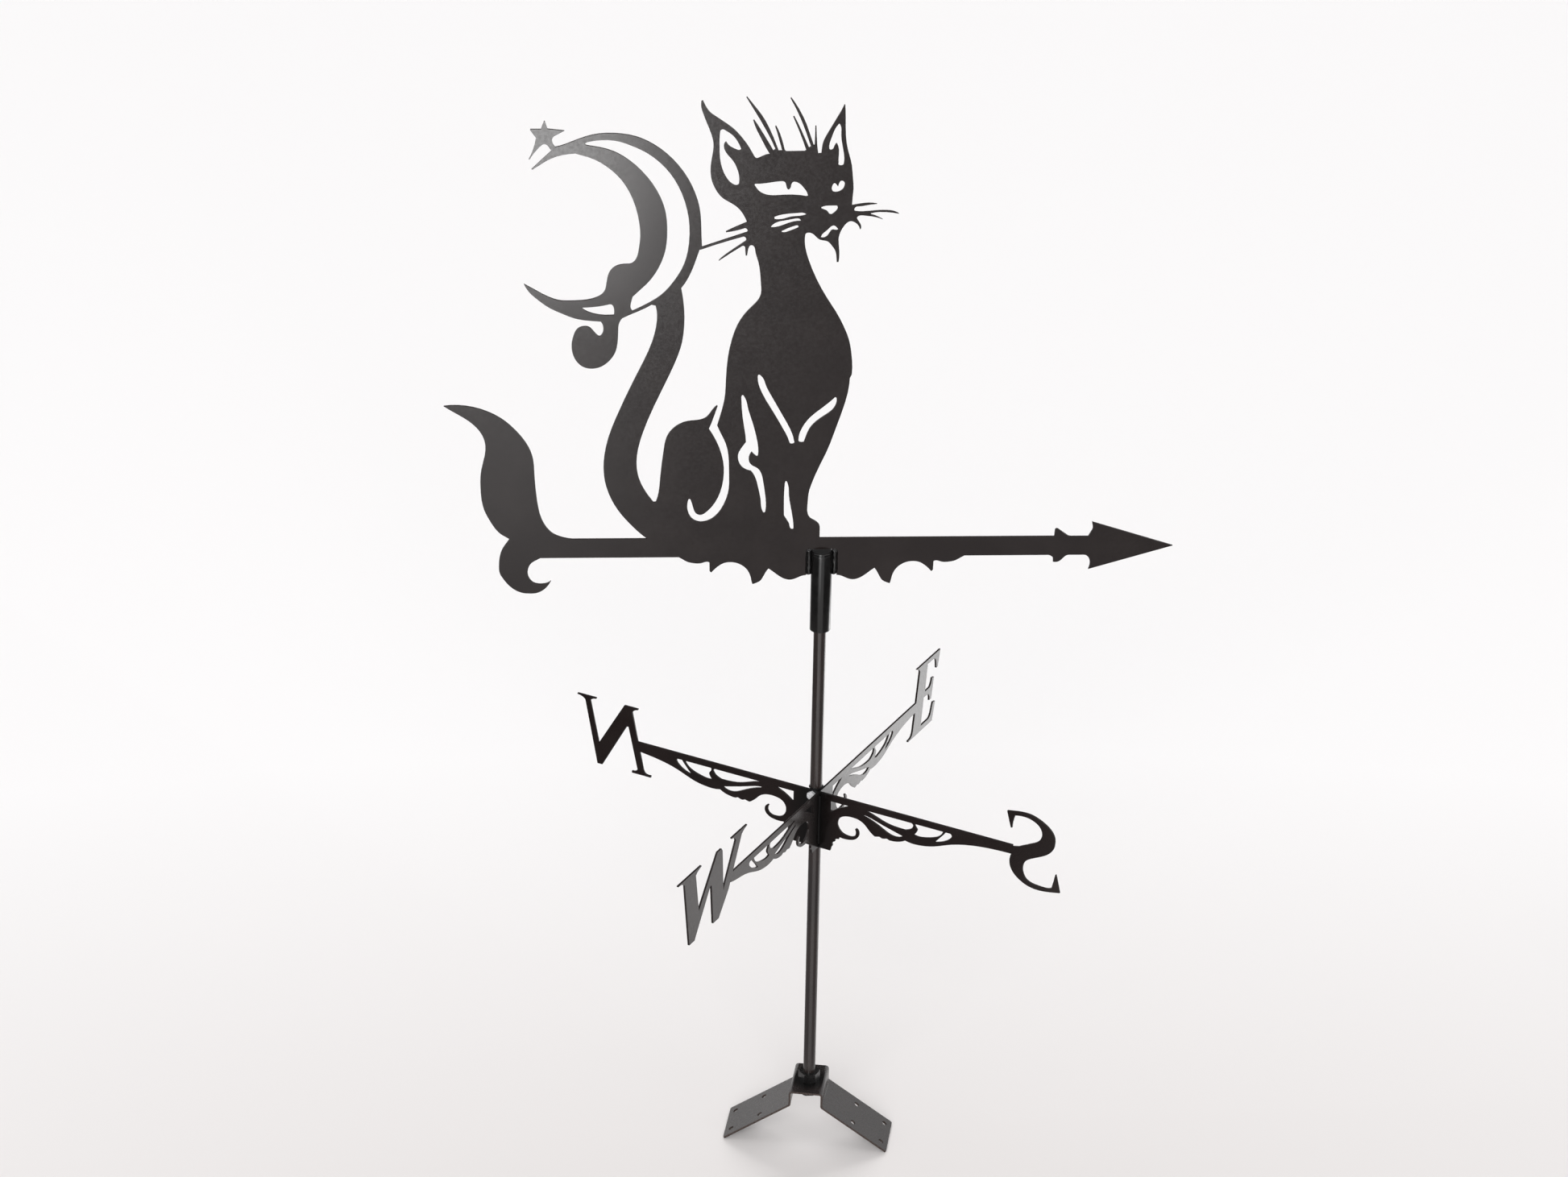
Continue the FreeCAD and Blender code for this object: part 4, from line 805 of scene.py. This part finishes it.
class WEATHERVANE_OT_welds(bpy.types.Operator):
    """Lays the rippled welds at the sleeve and in the compass hub"""

    bl_idname = "weathervane.welds"
    bl_label = "Welds"

    def execute(self, context):
        settings = context.scene.vane_welds
        cap_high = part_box("sleeve_cap")[1]
        for node, name, grain, side in (("weld_bead_left", "sleeve_weld_left", 1.0, -1),
                                        ("weld_bead_right", "sleeve_weld_right", 7.0, 1)):
            toe = Vector((side * (cap_high[0] + 0.6 * settings.toe_size / 2), 0, cap_high[2]))
            lumpy_weld(node, name, "vane", "weld_gloss_paint", grain, settings, 1.0, toe)
        for node, name, body, paint, grain, share in (
            ("corner_weld", "compass_corner_weld", "stand", "weld_dull_paint", 3.0, 0.35),
            ("mast_weld_top", "hub_weld_top", "stand", "weld_dull_paint", 11.0, 0.5),
            ("mast_weld_bottom", "hub_weld_bottom", "stand", "weld_dull_paint", 17.0, 0.5),
        ):
            lumpy_weld(node, name, body, paint, grain, settings, share)
        return {"FINISHED"}


class WEATHERVANE_OT_bearing(bpy.types.Operator):
    """Finishes the hidden ball, disc and bushes"""

    bl_idname = "weathervane.bearing"
    bl_label = "Bearing"

    def execute(self, context):
        node_material(["pivot_ball", "thrust_disc"], bpy.data.materials["polished_steel"])
        node_material(["upper_bush", "lower_bush"], bpy.data.materials["bush_nylon"])
        return {"FINISHED"}


class WEATHERVANE_OT_stage(bpy.types.Operator):
    """Sets up the pale floor, the soft light and the photograph's camera"""

    bl_idname = "weathervane.stage"
    bl_label = "Floor, light and camera"

    def execute(self, context):
        settings = context.scene.vane_stage
        self.camera(context, settings)
        self.floor(settings)
        self.room(context, settings)
        self.dark_cards()
        self.lamps()
        return {"FINISHED"}

    def camera(self, context, settings):
        pitch, yaw, roll = settings.camera_turn
        ahead = Vector((math.sin(yaw) * math.cos(pitch), math.cos(yaw) * math.cos(pitch),
                        -math.sin(pitch)))
        level = Vector((math.cos(yaw), -math.sin(yaw), 0))
        above = level.cross(ahead)
        right = math.cos(roll) * level + math.sin(roll) * above
        up = math.cos(roll) * above - math.sin(roll) * level
        data = bpy.data.cameras.new("photo_camera")
        data.sensor_fit = "HORIZONTAL"
        data.sensor_width = 36
        data.lens = settings.camera_lens
        data.clip_end = 60
        camera = bpy.data.objects.new("photo_camera", data)
        turn = Matrix((right, up, -ahead)).transposed().to_4x4()
        camera.matrix_world = Matrix.Translation(Vector(settings.camera_place)) @ turn
        context.scene.collection.objects.link(camera)
        context.scene.camera = camera

    def floor(self, settings):
        bm = bmesh.new()
        bmesh.ops.create_grid(bm, x_segments=2, y_segments=2, size=FLOOR_HALF_WIDTH)
        bmesh.ops.translate(bm, vec=(0, 0, CAD_BOX[0][2] - 0.05 * MM), verts=bm.verts)
        floor = bpy.data.objects.new("studio_floor", mesh_from("studio_floor", bm))
        bpy.context.scene.collection.objects.link(floor)
        material, shader = new_material("paper_sweep")
        # Painted shade: the floor is darker in a broad pool centred just before the object and
        # pales further off
        fade = mapped(material, plan_distance(material, (0, 0.35, 0), (0.5, 1, 0)),
                      *FLOOR_FADE, 0.0, 1.0)
        colour = mixed_colour(material, fade, settings.floor_shaded_near_colour,
                              settings.floor_far_colour)
        link(material, colour, shader.inputs["Base Color"])
        shader.inputs["Roughness"].default_value = 0.9
        shader.inputs["Specular IOR Level"].default_value = 0.1
        floor.data.materials.append(material)

    def room(self, context, settings):
        world = bpy.data.worlds.new("white_room")
        context.scene.world = world
        world.use_nodes = True
        tree = world.node_tree
        tree.nodes.clear()
        output = tree.nodes.new("ShaderNodeOutputWorld")
        seen = tree.nodes.new("ShaderNodeBackground")
        seen.inputs["Color"].default_value = SEEN_ROOM_COLOUR
        lighting = tree.nodes.new("ShaderNodeBackground")
        lighting.inputs["Color"].default_value = ROOM_LIGHT_COLOUR
        lighting.inputs["Strength"].default_value = settings.world_strength
        path = tree.nodes.new("ShaderNodeLightPath")
        either = tree.nodes.new("ShaderNodeMath")
        either.operation = "MAXIMUM"
        any_of = tree.nodes.new("ShaderNodeMath")
        any_of.operation = "MAXIMUM"
        mix = tree.nodes.new("ShaderNodeMixShader")
        tree.links.new(path.outputs["Is Camera Ray"], either.inputs[0])
        tree.links.new(path.outputs["Is Glossy Ray"], either.inputs[1])
        tree.links.new(either.outputs[0], any_of.inputs[0])
        tree.links.new(path.outputs["Is Transmission Ray"], any_of.inputs[1])
        tree.links.new(any_of.outputs[0], mix.inputs[0])
        tree.links.new(lighting.outputs["Background"], mix.inputs[1])
        tree.links.new(seen.outputs["Background"], mix.inputs[2])
        tree.links.new(mix.outputs["Shader"], output.inputs["Surface"])

    def dark_cards(self):
        """Dark cards low beside the object and high behind it, which only gloss shows."""
        material, shader = new_material("flag_cloth")
        depth = mapped(material, plan_distance(material, (0, 0, 0), (1, 1, 0)),
                       *FLAG_FADE, 0.0, 1.0)
        link(material, mixed_colour(material, depth, FLAG_NEAR_COLOUR, FLAG_FAR_COLOUR),
             shader.inputs["Base Color"])
        for name, start, sweep, inner, outer in FLAGS:
            bm = bmesh.new()
            points = [bm.verts.new((reach, 0, CAD_BOX[0][2] + FLAG_LIFT))
                      for reach in (inner, outer)]
            points.append(bm.edges.new(points))
            bmesh.ops.rotate(bm, cent=(0, 0, 0), verts=bm.verts,
                             matrix=Matrix.Rotation(math.radians(start), 3, "Z"))
            bmesh.ops.spin(bm, geom=points, cent=(0, 0, 0), axis=(0, 0, 1),
                           angle=math.radians(sweep), steps=FLAG_STEPS)
            self.gloss_only_card(name, bm, material)
        bm = bmesh.new()
        bmesh.ops.create_grid(bm, x_segments=1, y_segments=1, size=0.5)
        bmesh.ops.scale(bm, vec=CEILING_SIZE, verts=bm.verts)
        bmesh.ops.rotate(bm, cent=(0, 0, 0), verts=bm.verts,
                         matrix=Matrix.Rotation(math.radians(CEILING_TILT), 3, "X"))
        bmesh.ops.translate(bm, vec=CEILING_PLACE, verts=bm.verts)
        self.gloss_only_card("dark_ceiling", bm, material)

    def gloss_only_card(self, name, bm, material):
        card = bpy.data.objects.new(name, mesh_from(name, bm))
        bpy.context.scene.collection.objects.link(card)
        card.data.materials.append(material)
        card.visible_camera = False
        card.visible_diffuse = False
        card.visible_shadow = False

    def lamps(self):
        for name, place, aim_at, size, watts, gloss_only in LAMPS:
            data = bpy.data.lights.new(name, "AREA")
            data.size = size
            data.energy = watts
            lamp = self.placed_lamp(data, Vector(place), Vector(aim_at) - Vector(place))
            lamp.visible_diffuse = not gloss_only
        for name, heading in SUNS:
            data = bpy.data.lights.new(name, "SUN")
            data.energy = SUN_STRENGTH
            data.angle = math.radians(SUN_BREADTH)
            height = math.radians(SUN_HEIGHT)
            turn = math.radians(heading)
            source = Vector((math.cos(turn) * math.cos(height),
                             math.sin(turn) * math.cos(height), math.sin(height)))
            lamp = self.placed_lamp(data, 3 * source, -source)
            lamp.visible_glossy = False

    def placed_lamp(self, data, place, aim):
        lamp = bpy.data.objects.new(data.name, data)
        lamp.visible_camera = False
        turn = aim.to_track_quat("-Z", "Y").to_matrix().to_4x4()
        lamp.matrix_world = Matrix.Translation(place) @ turn
        bpy.context.scene.collection.objects.link(lamp)
        return lamp


class WEATHERVANE_PT_panel(bpy.types.Panel):
    """Lists the weathervane's pieces"""

    bl_idname = "WEATHERVANE_PT_panel"
    bl_label = "Cat weathervane"
    bl_space_type = "VIEW_3D"
    bl_region_type = "UI"
    bl_category = "Weathervane"

    def draw(self, context):
        for name, group in SETTINGS.items():
            box = self.layout.box()
            box.label(text=group.__doc__)
            for prop in group.__annotations__:
                box.prop(getattr(context.scene, name), prop)
        for operator in OPERATORS:
            self.layout.operator(operator.bl_idname)


SETTINGS = {
    "vane_plates": PlateSettings,
    "vane_mast": MastSettings,
    "vane_foot": FootSettings,
    "vane_welds": WeldSettings,
    "vane_stage": StageSettings,
}
OPERATORS = (
    WEATHERVANE_OT_coats,
    WEATHERVANE_OT_vane_plate,
    WEATHERVANE_OT_compass,
    WEATHERVANE_OT_sleeve,
    WEATHERVANE_OT_mast,
    WEATHERVANE_OT_bracket,
    WEATHERVANE_OT_foot_nuts,
    WEATHERVANE_OT_compass_bolt,
    WEATHERVANE_OT_welds,
    WEATHERVANE_OT_bearing,
    WEATHERVANE_OT_stage,
)
CLASSES = tuple(SETTINGS.values()) + OPERATORS + (WEATHERVANE_PT_panel,)


def register():
    for each in CLASSES:
        bpy.utils.register_class(each)
    for name, group in SETTINGS.items():
        setattr(bpy.types.Scene, name, bpy.props.PointerProperty(type=group))


def unregister():
    for name in SETTINGS:
        delattr(bpy.types.Scene, name)
    for each in reversed(CLASSES):
        bpy.utils.unregister_class(each)


def main():
    register()
    bpy.ops.weathervane.coats()
    bpy.ops.weathervane.vane_plate()
    bpy.ops.weathervane.compass()
    bpy.ops.weathervane.sleeve()
    bpy.ops.weathervane.mast()
    bpy.ops.weathervane.bracket()
    bpy.ops.weathervane.foot_nuts()
    bpy.ops.weathervane.compass_bolt()
    bpy.ops.weathervane.welds()
    bpy.ops.weathervane.bearing()
    bpy.ops.weathervane.stage()
    bpy.context.scene.view_settings.view_transform = "Standard"


if __name__ == "__main__":
    main()
